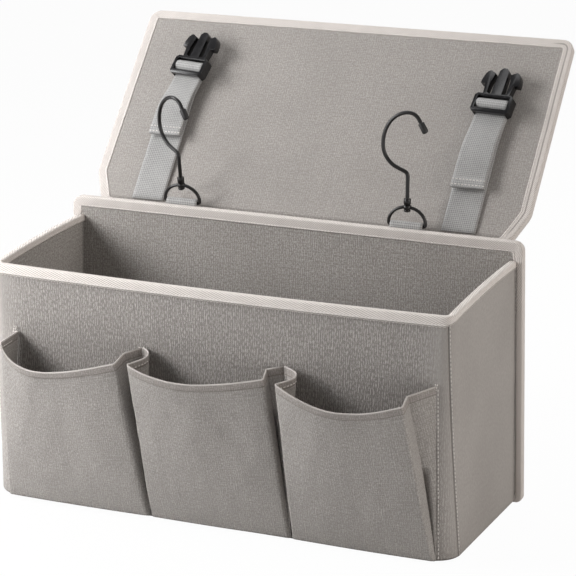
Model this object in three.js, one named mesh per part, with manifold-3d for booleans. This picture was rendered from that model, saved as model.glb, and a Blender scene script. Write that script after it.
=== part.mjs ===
// Bedside caddy: a fabric box on stiff boards with three pleated pockets, a raised back panel,
// a hinged flap with buckled straps, and two wire hooks on D-rings. Millimetres, +Z up.
// The origin is the middle of the underside, with the front at -Y.

import * as THREE from 'three';
import { mergeVertices } from 'three/addons/utils/BufferGeometryUtils.js';
import Module from 'manifold-3d';

const wasm = await Module();
wasm.setup();

// Box
const BOX_WIDTH = 340;
const BOX_DEPTH = 130;
const FRONT_HEIGHT = 170.5;
const SIDE_RISE = 6.5;
const FRONT_SAG = 1.4;
const CORNER_RADIUS = 18;
const RIM_CORNER_RADIUS = 7;
const FLARE = 4;

// Layers of the walls and panels
const FABRIC = 0.8;
const LINING = 0.6;
const WALL_BOARD = 1.5;
const BASE_BOARD = 2;
const PANEL_BOARD = 2.4;
const FIT_GAP = 0.3;
const BOARD_MARGIN = 2;

// Binding tape
const TAPE = 0.6;
const RIM_TAPE_WIDTH = 7.4;
const RIM_SIDE_TAPE_WIDTH = 5;
const PANEL_TAPE_WIDTH = 8;
const TAPE_CHAMFER = 0.5;

// Back panel
const BACK_RISE = 20;
const BACK_MARGIN = 5.7;
const BACK_CORNER = 6;
const BACK_FOOT_CORNER = 4;

// Pockets
const POCKET_HEIGHT = 123.5;
const POCKET_FOOT = 2;
const POCKET_FOLD_DEPTH = 26;
const RIGHT_FOLD_DEPTH_SHARES = [1, 0.65, 1];
const POCKET_BELLY = 6;
const POCKET_MOUTH_SAGS = [14.6, 7.4, 10];
const POCKET_MOUTH_LOW_SHARES = [0.3, 0.43, 0.5];
const POCKET_LEFT_DROP = 5;
const POCKET_RIGHT_DROP = 6;
const POCKET_RIGHT_STEP = 2.9;
const POCKET_FOOT_DEPTH = 3;
const POCKET_HEM = 5.4;
const HEM_STEP = 0.4;
const SEAM_GAP = 0.5;
const FLANGE_FOOT = 1.4;
const FLANGE_MOUTH = 3;
const FOLD_INSET_FOOT = 2.2;
const LEFT_FOLD_INSETS = [3, 1.2, 4.7];
const RIGHT_FOLD_INSETS = [4, 5.2, 14];
const SEAM_TOP_SHARES = [-0.446, -0.156, 0.153, 0.47];
const SEAM_FOOT_SHARES = [-0.462, -0.137, 0.169, 0.47];
const POCKET_SWELL_SHARE = 0.85;

// Flap
const FLAP_WIDTH = 340;
const FLAP_LENGTH = 168.8;
const FLAP_TOP_CORNER = 8;
const FLAP_TAPER_HEIGHT = 23.8;
const FLAP_TAPER_INSET = 10.2;
const FLAP_TAPER_CORNER = 16;
const FLAP_LOW_CORNER = 10;
const FLAP_FOOT_TAPE_WIDTH = 4;
const FLAP_TILT = THREE.MathUtils.degToRad(41.3);
const HINGE_REACH = 13.8;
const HINGE_DROP = 10.3;
const HINGE_STRIP_INSET = 20;
const HINGE_SEWN = 27;
const HINGE_BEND = 3;

// Webbing straps
const WEBBING = 1.3;
const STRAP_WIDTH = 25.4;
const STRAP_OFFSET = 121.8;
const STRAP_ROOT = 4.8;
const STRAP_LENGTH = 182;
const STRAP_HEM = 8;
const HEM_THICKNESS = 2.8;
const TAIL_LIFT = 4.4;
const LAYER_GAP = 0.4;
const STRAP_BEND_START = 41;
const STRAP_BEND_LENGTH = 20;
const STRAP_STEPS = 8;
const LEFT_STRAP = {
  buckle: 111.5,
  lean: THREE.MathUtils.degToRad(2),
  bend: THREE.MathUtils.degToRad(10),
  twist: THREE.MathUtils.degToRad(-12),
};
const RIGHT_STRAP = {
  buckle: 101.8,
  lean: THREE.MathUtils.degToRad(1),
  bend: THREE.MathUtils.degToRad(6.4),
  twist: THREE.MathUtils.degToRad(-8),
};

// Side-release buckles
const BUCKLE_WIDTH = 30.8;
const BUCKLE_RAIL = 2.4;
const BUCKLE_FOOT = 8.8;
const BUCKLE_FOOT_BAR = 3.5;
const BUCKLE_HEAD_START = 4.6;
const BUCKLE_HEAD = 6.6;
const BUCKLE_BACK = 3.3;
const BUCKLE_FRONT = 4.2;
const BUCKLE_BAR_RADIUS = 2.6;
const BUCKLE_SWING_ROOM = 2.6;
const BUCKLE_CORNER = 2;
const PRONG_THICKNESS = 5.4;
const PRONG_TIP = 26.4;
const PRONG_INNER = 8;
const PRONG_ARM = 2.4;
const PRONG_BARB_START = 15.6;
const PRONG_BARB_PEAK = 18.2;
const PRONG_NOSE = 4;
const TONGUE_TIP = 29.2;
const TONGUE_HALF_WIDTH = 4.3;
const TONGUE_NOSE_HALF_WIDTH = 3.7;
const TONGUE_NOSE = 2.2;
const SOCKET_LENGTH = 33;
const SOCKET_THICKNESS = 11;
const SOCKET_NECK_THICKNESS = 5.6;
const SOCKET_SLOT = 2.8;
const SOCKET_WALL = 1.8;
const SOCKET_MOUTH_DEPTH = 23;
const SOCKET_WINDOW_START = 17;
const SOCKET_WINDOW_LENGTH = 9;
const SOCKET_SHOULDER = 4;

// Webbing tabs
const TAB_WIDTH = 24.4;
const RING_TAB_SEWN = 7.2;
const SOCKET_TAB_DROP = 2;
const SOCKET_TAB_SEWN = 14;
const SOCKET_TAB_HANG = 20;
const SOCKET_STANDOFF = 6;

// D-rings and hooks
const RING_LEFT_PLACE = 89.2;
const RING_RIGHT_PLACE = 86.2;
const RING_WIRE = 2.4;
const RING_HALF_WIDTH = 13.9;
const RING_HEIGHT = 13.3;
const RING_CORNER = 1.6;
const RING_BAR_LIFT = 1.3;
const BOSS_RADIUS = 2.8;
const BOSS_HEIGHT = 3;
const HOOK_WIRE = 2.8;
const HOOK_SHANK = 35.3;
const HOOK_NECK_RADIUS = 4;
const HOOK_NECK_TURN = THREE.MathUtils.degToRad(68);
const HOOK_NECK_RUN = 6;
const HOOK_CHEEK_RADIUS = 17.3;
const HOOK_CROWN_HALF_WIDTH = 19.2;
const HOOK_CROWN_RISE = 23.7;
const HOOK_BROW_RADIUS = 8.5;
const HOOK_BROW_TURN = THREE.MathUtils.degToRad(60);
const HOOK_TIP_RUN = 10;
const RIVET_RADIUS = 2.5;
const RIVET_HEIGHT = 1.6;
const RIVET_CHAMFER = 0.7;
const COLLAR_RADIUS = 2.6;
const COLLAR_HEIGHT = 4.5;
const CAP_WALL = 0.6;
const CAP_LENGTH = 8;
const LEFT_RING_LEAN = THREE.MathUtils.degToRad(10);
const LEFT_HOOK_TURN = THREE.MathUtils.degToRad(-24.5);

// How finely round forms are cut
const CORNER_STEPS = 6;
const SIDE_STEPS = 6;
const FRONT_STEPS = 8;
const ROUND_SIDES = 10;
const LOOP_STEPS = 8;
const CURVE_STEPS = 5;
const BELLY_STEPS = 8;
const POCKET_STEPS = 7;
const RING_STEPS = 34;
const OVERRUN = 2;
const WELD = 1e-4;

// Sizes that follow from the ones above
const halfWidth = BOX_WIDTH / 2;
const halfDepth = BOX_DEPTH / 2;
const tapeProud = FIT_GAP + TAPE;
const wallThickness = FABRIC + FIT_GAP + WALL_BOARD + FIT_GAP + LINING;
const panelThickness = FABRIC + FIT_GAP + PANEL_BOARD + FIT_GAP + FABRIC;
const wallHeight = FRONT_HEIGHT - tapeProud;
const wallRear = halfDepth - FIT_GAP;
const backTop = FRONT_HEIGHT + BACK_RISE;
const backRear = halfDepth + panelThickness;
const liningFloor = FABRIC + FIT_GAP + BASE_BOARD + FIT_GAP;
const ringRadius = RING_WIRE / 2;
const hookRadius = HOOK_WIRE / 2;

const caddy = new THREE.Group();

// Finishes
const finish = (color, roughness, metalness = 0) =>
  new THREE.MeshStandardMaterial({ color, roughness, metalness });
const greyLinen = finish(0xa8a29c, 0.9);
const creamTape = finish(0xdcd3cc, 0.85);
const greyWebbing = finish(0xb4b6b6, 0.75);
const blackPlastic = finish(0x2b2b2d, 0.45);
const blackSteel = finish(0x1f1c1b, 0.4, 0.6);
const greyBoard = finish(0x8c8a86, 0.8);

function addPart(name, geometry, material, parent = caddy) {
  const part = new THREE.Mesh(geometry, material);
  part.name = name;
  parent.add(part);
  return part;
}

// Solids

function signedVolume(positions, triangles) {
  const a = new THREE.Vector3();
  const b = new THREE.Vector3();
  const c = new THREE.Vector3();
  let volume = 0;
  for (let i = 0; i < triangles.length; i += 3) {
    a.fromArray(positions, 3 * triangles[i]);
    b.fromArray(positions, 3 * triangles[i + 1]);
    c.fromArray(positions, 3 * triangles[i + 2]);
    volume += a.dot(b.cross(c));
  }
  return volume;
}

function closedGeometry(positions, triangles) {
  const outward = signedVolume(positions, triangles) > 0;
  const ordered = outward ? triangles : [...triangles].reverse();
  const geometry = new THREE.BufferGeometry();
  geometry.setAttribute('position', new THREE.Float32BufferAttribute(positions, 3));
  geometry.setIndex(ordered);
  return geometry;
}

// Triangles over one ring of points, turning the same way as the ring
function capTriangles(ring) {
  const normal = new THREE.Vector3();
  ring.forEach((point, i) => {
    normal.add(point.clone().cross(ring[(i + 1) % ring.length]));
  });
  normal.normalize();
  const across = new THREE.Vector3(1, 0, 0);
  if (Math.abs(normal.x) > Math.abs(normal.y)) across.set(0, 1, 0);
  across.cross(normal).normalize();
  const up = normal.clone().cross(across);
  const flat = ring.map((point) => new THREE.Vector2(point.dot(across), point.dot(up)));
  return THREE.ShapeUtils.triangulateShape(flat, []).map(([i, j, k]) => {
    const turn = (flat[j].x - flat[i].x) * (flat[k].y - flat[i].y)
      - (flat[j].y - flat[i].y) * (flat[k].x - flat[i].x);
    return turn > 0 ? [i, j, k] : [i, k, j];
  });
}

// A closed solid through rings of equally many points
function loft(rings, isLoop = false) {
  const count = rings[0].length;
  const positions = rings.flat().flatMap((point) => point.toArray());
  const triangles = [];
  const spans = isLoop ? rings.length : rings.length - 1;
  for (let i = 0; i < spans; i++) {
    const near = i * count;
    const far = ((i + 1) % rings.length) * count;
    for (let j = 0; j < count; j++) {
      const k = (j + 1) % count;
      triangles.push(near + j, near + k, far + k, near + j, far + k, far + j);
    }
  }
  if (!isLoop) {
    const last = (rings.length - 1) * count;
    capTriangles(rings[0]).forEach(([i, j, k]) => triangles.push(i, k, j));
    capTriangles(rings[rings.length - 1]).forEach(([i, j, k]) => {
      triangles.push(last + i, last + j, last + k);
    });
  }
  return closedGeometry(positions, triangles);
}

function solidOf(geometry) {
  const bare = geometry.clone();
  bare.deleteAttribute('normal');
  bare.deleteAttribute('uv');
  const welded = mergeVertices(bare, WELD);
  return new wasm.Manifold(new wasm.Mesh({
    numProp: 3,
    vertProperties: welded.attributes.position.array,
    triVerts: welded.index.array,
  }));
}

function geometryOf(solid) {
  const mesh = solid.getMesh();
  const geometry = new THREE.BufferGeometry();
  geometry.setAttribute('position', new THREE.BufferAttribute(mesh.vertProperties, mesh.numProp));
  geometry.setIndex(new THREE.BufferAttribute(mesh.triVerts, 1));
  return geometry;
}

const joined = (...pieces) =>
  geometryOf(pieces.map(solidOf).reduce((whole, piece) => whole.add(piece)));

const cut = (whole, ...tools) =>
  geometryOf(tools.map(solidOf).reduce((rest, tool) => rest.subtract(tool), solidOf(whole)));

// A block between two corners
function block(low, high) {
  const size = new THREE.Vector3().subVectors(high, low);
  const middle = new THREE.Vector3().addVectors(high, low).multiplyScalar(0.5);
  return new THREE.BoxGeometry(size.x, size.y, size.z).translate(middle.x, middle.y, middle.z);
}

const point = (x, y, z) => new THREE.Vector3(x, y, z);

// An upright plate: the shape lies in X and Z, and its thickness runs back along Y
function standingPlate(shape, front, thickness) {
  return new THREE.ExtrudeGeometry(shape, {
    depth: thickness,
    bevelEnabled: false,
    curveSegments: CORNER_STEPS,
  }).rotateX(Math.PI / 2).translate(0, front + thickness, 0);
}

// A strip of cloth seen from its edge: path points are [y, z], and it is wide along X
function strip(path, thicknesses, width) {
  return loft(path.map(([y, z], i) => {
    const before = path[Math.max(i - 1, 0)];
    const after = path[Math.min(i + 1, path.length - 1)];
    const along = new THREE.Vector2(after[0] - before[0], after[1] - before[1]).normalize();
    const half = thicknesses[i] / 2;
    const face = [y - along.y * half, z + along.x * half];
    const back = [y + along.y * half, z - along.x * half];
    return [
      point(-width / 2, ...face), point(width / 2, ...face),
      point(width / 2, ...back), point(-width / 2, ...back),
    ];
  }));
}

const evenly = (path, thickness) => path.map(() => thickness);

// Points on an arc, as [y, z], from one angle to another in radians
function arcPoints(y, z, radius, from, to) {
  return Array.from({ length: LOOP_STEPS + 1 }, (_, i) => {
    const angle = from + (to - from) * i / LOOP_STEPS;
    return [y + radius * Math.cos(angle), z + radius * Math.sin(angle)];
  });
}

// A round wire along a flat path in X and Z
function wire(path, radius, isLoop = false) {
  const rings = path.map((place, i) => {
    const last = path.length - 1;
    const before = path[isLoop ? (i + last) % path.length : Math.max(i - 1, 0)];
    const after = path[isLoop ? (i + 1) % path.length : Math.min(i + 1, last)];
    const along = new THREE.Vector2().subVectors(after, before).normalize();
    return Array.from({ length: ROUND_SIDES }, (_, j) => {
      const angle = 2 * Math.PI * j / ROUND_SIDES;
      const side = radius * Math.cos(angle);
      return point(place.x + along.y * side, radius * Math.sin(angle), place.y - along.x * side);
    });
  });
  return loft(rings, isLoop);
}

// A turned piece on the Z axis, from [radius, height] pairs that start and end on the axis
const turned = (profile) => new THREE.LatheGeometry(
  profile.map(([radius, height]) => new THREE.Vector2(radius, height)),
  ROUND_SIDES,
).rotateX(Math.PI / 2);

const post = (radius, low, high) => turned([[0, low], [radius, low], [radius, high], [0, high]]);

// The soft walls spread a little towards the base
function flared(geometry) {
  const places = geometry.attributes.position;
  for (let i = 0; i < places.count; i++) {
    const spread = FLARE / halfWidth * (1 - places.getZ(i) / FRONT_HEIGHT);
    places.setX(i, places.getX(i) * (1 + spread));
  }
  return geometry;
}

// Walls

// The upright corners are tighter at the rim than at the base
const cornerRadius = (height) =>
  THREE.MathUtils.lerp(CORNER_RADIUS, RIM_CORNER_RADIUS, height / FRONT_HEIGHT);

// How high the wall stands at a place on its plan
function wallTop({ x, y }) {
  const straight = halfWidth - RIM_CORNER_RADIUS;
  if (Math.abs(x) < straight) return wallHeight - FRONT_SAG * (1 - (x / straight) ** 2);
  const back = (y + halfDepth) / (wallRear + halfDepth);
  return wallHeight + SIDE_RISE * (1 - (1 - back) ** 2);
}

// A station on the outside of the walls: where it lies for a corner radius, and which way is out.
// front is 1 on the front, 0 on a side
function wallStation(place, outX, outY) {
  return { place, outX, outY, front: outY * outY, top: wallTop(place(RIM_CORNER_RADIUS)) };
}

// Stations along one side wall, from the back to the corner
function sideStations(side) {
  return Array.from({ length: SIDE_STEPS + 1 }, (_, i) => wallStation((radius) => ({
    x: side * halfWidth,
    y: wallRear + (radius - halfDepth - wallRear) * i / SIDE_STEPS,
  }), side, 0));
}

function frontStations() {
  return Array.from({ length: FRONT_STEPS + 1 }, (_, i) => wallStation((radius) => ({
    x: (halfWidth - radius) * (2 * i / FRONT_STEPS - 1),
    y: -halfDepth,
  }), 0, -1));
}

function cornerStations(side) {
  return Array.from({ length: CORNER_STEPS - 1 }, (_, i) => {
    const angle = Math.PI / 2 * (i + 1) / CORNER_STEPS;
    const outX = side * Math.cos(angle);
    const outY = -Math.sin(angle);
    return wallStation((radius) => ({
      x: side * (halfWidth - radius) + outX * radius,
      y: radius - halfDepth + outY * radius,
    }), outX, outY);
  });
}

const wallStations = [
  ...sideStations(-1),
  ...cornerStations(-1),
  ...frontStations(),
  ...cornerStations(1).reverse(),
  ...sideStations(1).reverse(),
];

// A place at a height on a station, moved outwards by an offset
function stationPoint({ place, outX, outY }, offset, height) {
  const { x, y } = place(cornerRadius(height));
  return point(x + outX * offset, y + outY * offset, height);
}

// A wall layer swept along stations; the section gives [offset outwards, height] pairs
function sweptWall(stations, section) {
  return loft(stations.map((station) => section(station).map(([offset, height]) =>
    stationPoint(station, offset, height))));
}

const layerSection = (outer, inner, low, drop) => ({ top }) =>
  [[outer, low], [outer, top - drop], [inner, top - drop], [inner, low]];

// A flat sheet over the plan of the box, drawn in by an inset
function floorSheet(inset, low, high) {
  const outline = (z) => wallStations.map((station) => stationPoint(station, -inset, z));
  return loft([outline(low), outline(high)]);
}

const boardOuter = -(FABRIC + FIT_GAP);
const boardInner = boardOuter - WALL_BOARD;
const liningOuter = boardInner - FIT_GAP;
const liningInner = -wallThickness;

addPart('outer_cover', flared(joined(
  sweptWall(wallStations, layerSection(0, -FABRIC, 0, 0)),
  floorSheet(0, 0, FABRIC),
)), greyLinen);

addPart('lining', flared(joined(
  sweptWall(wallStations, layerSection(liningOuter, liningInner, liningFloor, 0)),
  floorSheet(-liningOuter, liningFloor, liningFloor + LINING),
)), greyLinen);

const boardSection = layerSection(boardOuter, boardInner, FABRIC + FIT_GAP, BOARD_MARGIN);
addPart('front_board', flared(sweptWall(frontStations(), boardSection)), greyBoard);
addPart('left_board', flared(sweptWall(sideStations(-1), boardSection)), greyBoard);
addPart('right_board', flared(sweptWall(sideStations(1), boardSection)), greyBoard);
addPart('base_board', flared(
  floorSheet(-liningOuter, FABRIC + FIT_GAP, FABRIC + FIT_GAP + BASE_BOARD),
), greyBoard);

// Tape folded over the rim, with its upper edges eased
addPart('rim_binding', flared(sweptWall(wallStations, ({ top, front }) => {
  const width = THREE.MathUtils.lerp(RIM_SIDE_TAPE_WIDTH, RIM_TAPE_WIDTH, front);
  const low = top + tapeProud - width;
  const high = top + tapeProud;
  const outer = tapeProud;
  const inner = liningInner - tapeProud;
  return [
    [outer, low], [outer, high - TAPE_CHAMFER], [outer - TAPE_CHAMFER, high],
    [inner + TAPE_CHAMFER, high], [inner, high - TAPE_CHAMFER], [inner, low],
    [inner + TAPE, low], [inner + TAPE, high - TAPE],
    [outer - TAPE, high - TAPE], [outer - TAPE, low],
  ];
})), creamTape);

// Panels

// A closed outline in X and Z through rounded corners, given as [x, z, radius] from the foot up
// the right side; the left side mirrors it, and grow widens it all round
function panelOutline(rightCorners, grow = 0) {
  const leftCorners = [...rightCorners].reverse().map(([x, z, radius]) => [-x, z, radius]);
  const corners = [...rightCorners, ...leftCorners];
  const count = corners.length;
  const edges = corners.map(([x, z], i) => {
    const [nextX, nextZ] = corners[(i + 1) % count];
    return new THREE.Vector2(nextX - x, nextZ - z).normalize();
  });
  const outward = edges.map((along) => new THREE.Vector2(along.y, -along.x));
  const shape = new THREE.Shape();
  corners.forEach(([x, z, radius], i) => {
    const before = (i + count - 1) % count;
    const facing = outward[before].dot(outward[i]);
    const grown = new THREE.Vector2().addVectors(outward[before], outward[i])
      .multiplyScalar(grow / (1 + facing)).add(new THREE.Vector2(x, z));
    const bend = Math.acos(facing);
    const rounding = Math.max(radius + grow, TAPE);
    const start = grown.addScaledVector(edges[before], -rounding * Math.tan(bend / 2));
    const centre = start.clone().addScaledVector(outward[before], -rounding);
    const angle = outward[before].angle();
    if (i === 0) shape.moveTo(start.x, start.y);
    shape.absarc(centre.x, centre.y, rounding, angle, angle + bend);
  });
  shape.closePath();
  return shape;
}

// Front cover, board and rear cover of a panel whose face is at front
function panelLayers(panel, front) {
  const boardFront = front + FABRIC + FIT_GAP;
  return [
    standingPlate(panelOutline(panel), front, FABRIC),
    standingPlate(panelOutline(panel, -BOARD_MARGIN), boardFront, PANEL_BOARD),
    standingPlate(panelOutline(panel), boardFront + PANEL_BOARD + FIT_GAP, FABRIC),
  ];
}

// Tape folded over a panel's whole edge; footWidth is how far it reaches up at the foot
function panelBinding(panel, front, footWidth = PANEL_TAPE_WIDTH) {
  const depth = panelThickness + 2 * tapeProud;
  const [[footX, footZ, footRadius], ...rest] = panel;
  const bare = [[footX, footZ + footWidth - PANEL_TAPE_WIDTH, footRadius], ...rest];
  return cut(
    standingPlate(panelOutline(panel, tapeProud), front - tapeProud, depth),
    standingPlate(panelOutline(panel, FIT_GAP), front - FIT_GAP, panelThickness + 2 * FIT_GAP),
    standingPlate(panelOutline(bare, tapeProud - PANEL_TAPE_WIDTH), front - OVERRUN, depth + OVERRUN),
  );
}

const backHalfWidth = halfWidth + BACK_MARGIN - tapeProud;
const backPanel = [
  [backHalfWidth, FIT_GAP + tapeProud, BACK_FOOT_CORNER],
  [backHalfWidth, backTop - tapeProud, BACK_CORNER],
];
const backLayers = panelLayers(backPanel, halfDepth).map(flared);
addPart('back_front_cover', backLayers[0], greyLinen);
addPart('back_board', backLayers[1], greyBoard);
addPart('back_rear_cover', backLayers[2], greyLinen);

// The walls are sewn against the panel's face, so the tape stops beside them
const wallNotch = block(
  point(-halfWidth - tapeProud - FIT_GAP, halfDepth - tapeProud - OVERRUN, -OVERRUN),
  point(halfWidth + tapeProud + FIT_GAP, halfDepth, FRONT_HEIGHT + SIDE_RISE + FIT_GAP),
);
addPart('back_binding', flared(cut(panelBinding(backPanel, halfDepth), wallNotch)), creamTape);

// Pockets

// Depth of the front of a pocket at a height, as a share of its mouth
function pocketSwell(rise) {
  return POCKET_FOOT_DEPTH / POCKET_FOLD_DEPTH
    + (1 - POCKET_FOOT_DEPTH / POCKET_FOLD_DEPTH) * rise ** POCKET_SWELL_SHARE;
}

// How far the mouth's edge hangs at a share of the way across, apart from its folds
function mouthDrop(index, across) {
  const skew = Math.log(1 / 2) / Math.log(POCKET_MOUTH_LOW_SHARES[index]);
  return THREE.MathUtils.lerp(POCKET_LEFT_DROP, POCKET_RIGHT_DROP, across)
    + POCKET_MOUTH_SAGS[index] * Math.sin(Math.PI * across ** skew);
}

// One ring round a pocket's cloth: flange, gusset, belly, gusset, flange, and back inside
function pocketRing(index, rise, isFloor, thickening) {
  const { lerp } = THREE.MathUtils;
  const left = lerp(SEAM_FOOT_SHARES[index], SEAM_TOP_SHARES[index], rise) * BOX_WIDTH + SEAM_GAP;
  const right = lerp(SEAM_FOOT_SHARES[index + 1], SEAM_TOP_SHARES[index + 1], rise) * BOX_WIDTH
    - SEAM_GAP;
  const flange = lerp(FLANGE_FOOT, FLANGE_MOUTH, rise);
  const leftFold = left + lerp(FOLD_INSET_FOOT, LEFT_FOLD_INSETS[index], rise);
  const rightFold = right - lerp(FOLD_INSET_FOOT, RIGHT_FOLD_INSETS[index], rise);
  const swell = pocketSwell(rise);
  const leftDepth = POCKET_FOLD_DEPTH * swell;
  const rightDepth = leftDepth * RIGHT_FOLD_DEPTH_SHARES[index];
  const place = (x, depth, drop) => point(
    x,
    -halfDepth - FIT_GAP - depth,
    POCKET_FOOT + (POCKET_HEIGHT - drop - POCKET_FOOT) * rise,
  );
  const bellyRow = (inset, forward) => {
    const from = leftFold + inset;
    const to = rightFold - inset;
    const stepShare = POCKET_RIGHT_STEP / (to - from);
    const row = Array.from({ length: BELLY_STEPS + 1 }, (_, i) => {
      const across = (1 - stepShare) * i / BELLY_STEPS;
      const belly = POCKET_BELLY * swell * Math.sin(Math.PI * across);
      const depth = lerp(leftDepth, rightDepth, across) + belly + forward;
      return { across, depth, drop: mouthDrop(index, i / BELLY_STEPS) };
    });
    row.push({ across: 1, depth: rightDepth + forward, drop: 0 });
    return row.map(({ across, depth, drop }) =>
      place(lerp(from, to, across), isFloor && inset > 0 ? 0 : depth, drop));
  };
  const outside = [
    place(left, FABRIC, 0),
    place(left + flange - FABRIC, FABRIC, 0),
    ...bellyRow(-thickening, thickening),
    place(right - flange + FABRIC, FABRIC, 0),
    place(right, FABRIC, 0),
  ];
  const inside = [
    place(left, 0, 0),
    place(left + flange, 0, 0),
    ...bellyRow(FABRIC, -FABRIC),
    place(right - flange, 0, 0),
    place(right, 0, 0),
  ];
  return [...outside, ...inside.reverse()];
}

function pocket(index) {
  const floorRise = FABRIC / POCKET_HEIGHT;
  const hemRise = 1 - POCKET_HEM / POCKET_HEIGHT;
  const openRise = 2 * floorRise;
  const rings = [
    pocketRing(index, 0, true, 0),
    pocketRing(index, floorRise, true, 0),
    pocketRing(index, openRise, false, 0),
  ];
  for (let i = 1; i <= POCKET_STEPS; i++) {
    rings.push(pocketRing(index, openRise + (hemRise - openRise) * i / POCKET_STEPS, false, 0));
  }
  rings.push(pocketRing(index, hemRise + HEM_STEP / POCKET_HEIGHT, false, HEM_STEP));
  rings.push(pocketRing(index, 1, false, HEM_STEP));
  return flared(loft(rings));
}

['pocket_left', 'pocket_centre', 'pocket_right'].forEach((name, index) => {
  addPart(name, pocket(index), greyLinen);
});

// Flap, in a group whose origin is the hinge line, with the cloth's face towards -Y

const hingeLine = { y: backRear + HINGE_REACH, z: backTop - HINGE_DROP };
const flap = new THREE.Group();
flap.position.set(0, hingeLine.y, hingeLine.z);
flap.rotation.x = -FLAP_TILT;
caddy.add(flap);

const flapFront = -(FIT_GAP + tapeProud + panelThickness);
const flapHalfWidth = FLAP_WIDTH / 2 - tapeProud;
const flapFoot = FIT_GAP + tapeProud;
const flapPanel = [
  [flapHalfWidth - FLAP_TAPER_INSET, flapFoot, FLAP_LOW_CORNER],
  [flapHalfWidth, flapFoot + FLAP_TAPER_HEIGHT, FLAP_TAPER_CORNER],
  [flapHalfWidth, FIT_GAP + FLAP_LENGTH - tapeProud, FLAP_TOP_CORNER],
];
const flapLayers = panelLayers(flapPanel, flapFront);
addPart('flap_front_cover', flapLayers[0], greyLinen, flap);
addPart('flap_board', flapLayers[1], greyBoard, flap);
addPart('flap_rear_cover', flapLayers[2], greyLinen, flap);
addPart('flap_binding', panelBinding(flapPanel, flapFront, FLAP_FOOT_TAPE_WIDTH), creamTape, flap);

// Cloth band from the panel's rear to the hinge line
const bandUpright = backRear + FIT_GAP + FABRIC / 2;
const bandLevel = hingeLine.z - FIT_GAP - FABRIC / 2;
const hingePath = [
  [bandUpright, bandLevel - HINGE_BEND - HINGE_SEWN],
  ...arcPoints(bandUpright + HINGE_BEND, bandLevel - HINGE_BEND, HINGE_BEND, Math.PI, Math.PI / 2),
  [hingeLine.y - FIT_GAP, bandLevel],
];
const hingeStripWidth = FLAP_WIDTH - 2 * HINGE_STRIP_INSET;
addPart('hinge_strip', strip(hingePath, evenly(hingePath, FABRIC), hingeStripWidth), greyLinen);

// Straps and male buckles, in groups that turn about the strap's sewn root

const barSeat = BUCKLE_BAR_RADIUS + FIT_GAP + WEBBING / 2;

// Points evenly spaced between two [forwards, along] places, without the second
function evenSteps(from, to) {
  return Array.from({ length: STRAP_STEPS }, (_, i) => [
    THREE.MathUtils.lerp(from[0], to[0], i / STRAP_STEPS),
    THREE.MathUtils.lerp(from[1], to[1], i / STRAP_STEPS),
  ]);
}

// The webbing runs up behind the buckle's bar, round it, and back down under the foot bar.
// Path points are [forwards, along]
function strapPath(barPlace) {
  const tailEnd = barPlace - (STRAP_LENGTH - barPlace - Math.PI * barSeat);
  const tailRest = WEBBING + LAYER_GAP;
  const underFoot = [tailRest, barPlace - BUCKLE_FOOT - FIT_GAP];
  const hemStart = [TAIL_LIFT, tailEnd + STRAP_HEM + FIT_GAP];
  return [
    ...evenSteps([0, 0], [0, barPlace]),
    ...arcPoints(barSeat, barPlace, barSeat, Math.PI, -Math.PI / 4),
    [tailRest, barPlace - BUCKLE_FOOT + BUCKLE_FOOT_BAR],
    ...evenSteps(underFoot, hemStart),
    hemStart,
    [TAIL_LIFT, tailEnd + STRAP_HEM],
    [TAIL_LIFT, tailEnd],
  ];
}

// Where a place on a straight strap comes to when it twists and bends sideways below the buckle
function strapPlace(x, y, z, { buckle, bend, twist }) {
  const bendStart = buckle - STRAP_BEND_START;
  const share = THREE.MathUtils.clamp((z - bendStart) / STRAP_BEND_LENGTH, 0, 1);
  const angle = bend * share;
  const curved = STRAP_BEND_LENGTH * share ** 2 / 2;
  const beyond = Math.max(z - bendStart - STRAP_BEND_LENGTH, 0);
  const aside = curved * bend + beyond * Math.sin(bend);
  const along = z - beyond + beyond * Math.cos(bend);
  const turnedX = x * Math.cos(twist * share) - y * Math.sin(twist * share);
  const turnedY = x * Math.sin(twist * share) + y * Math.cos(twist * share);
  return point(
    aside + turnedX * Math.cos(angle),
    turnedY,
    along - turnedX * Math.sin(angle),
  );
}

function strap(form) {
  const path = strapPath(form.buckle);
  const thicknesses = evenly(path, WEBBING);
  thicknesses.fill(HEM_THICKNESS, -2);
  const webbing = strip(path.map(([forwards, along]) => [-forwards, along]), thicknesses,
    STRAP_WIDTH);
  const places = webbing.attributes.position;
  for (let i = 0; i < places.count; i++) {
    const { x, y, z } = strapPlace(places.getX(i), places.getY(i), places.getZ(i), form);
    places.setXYZ(i, x, y, z);
  }
  return webbing;
}

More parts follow.
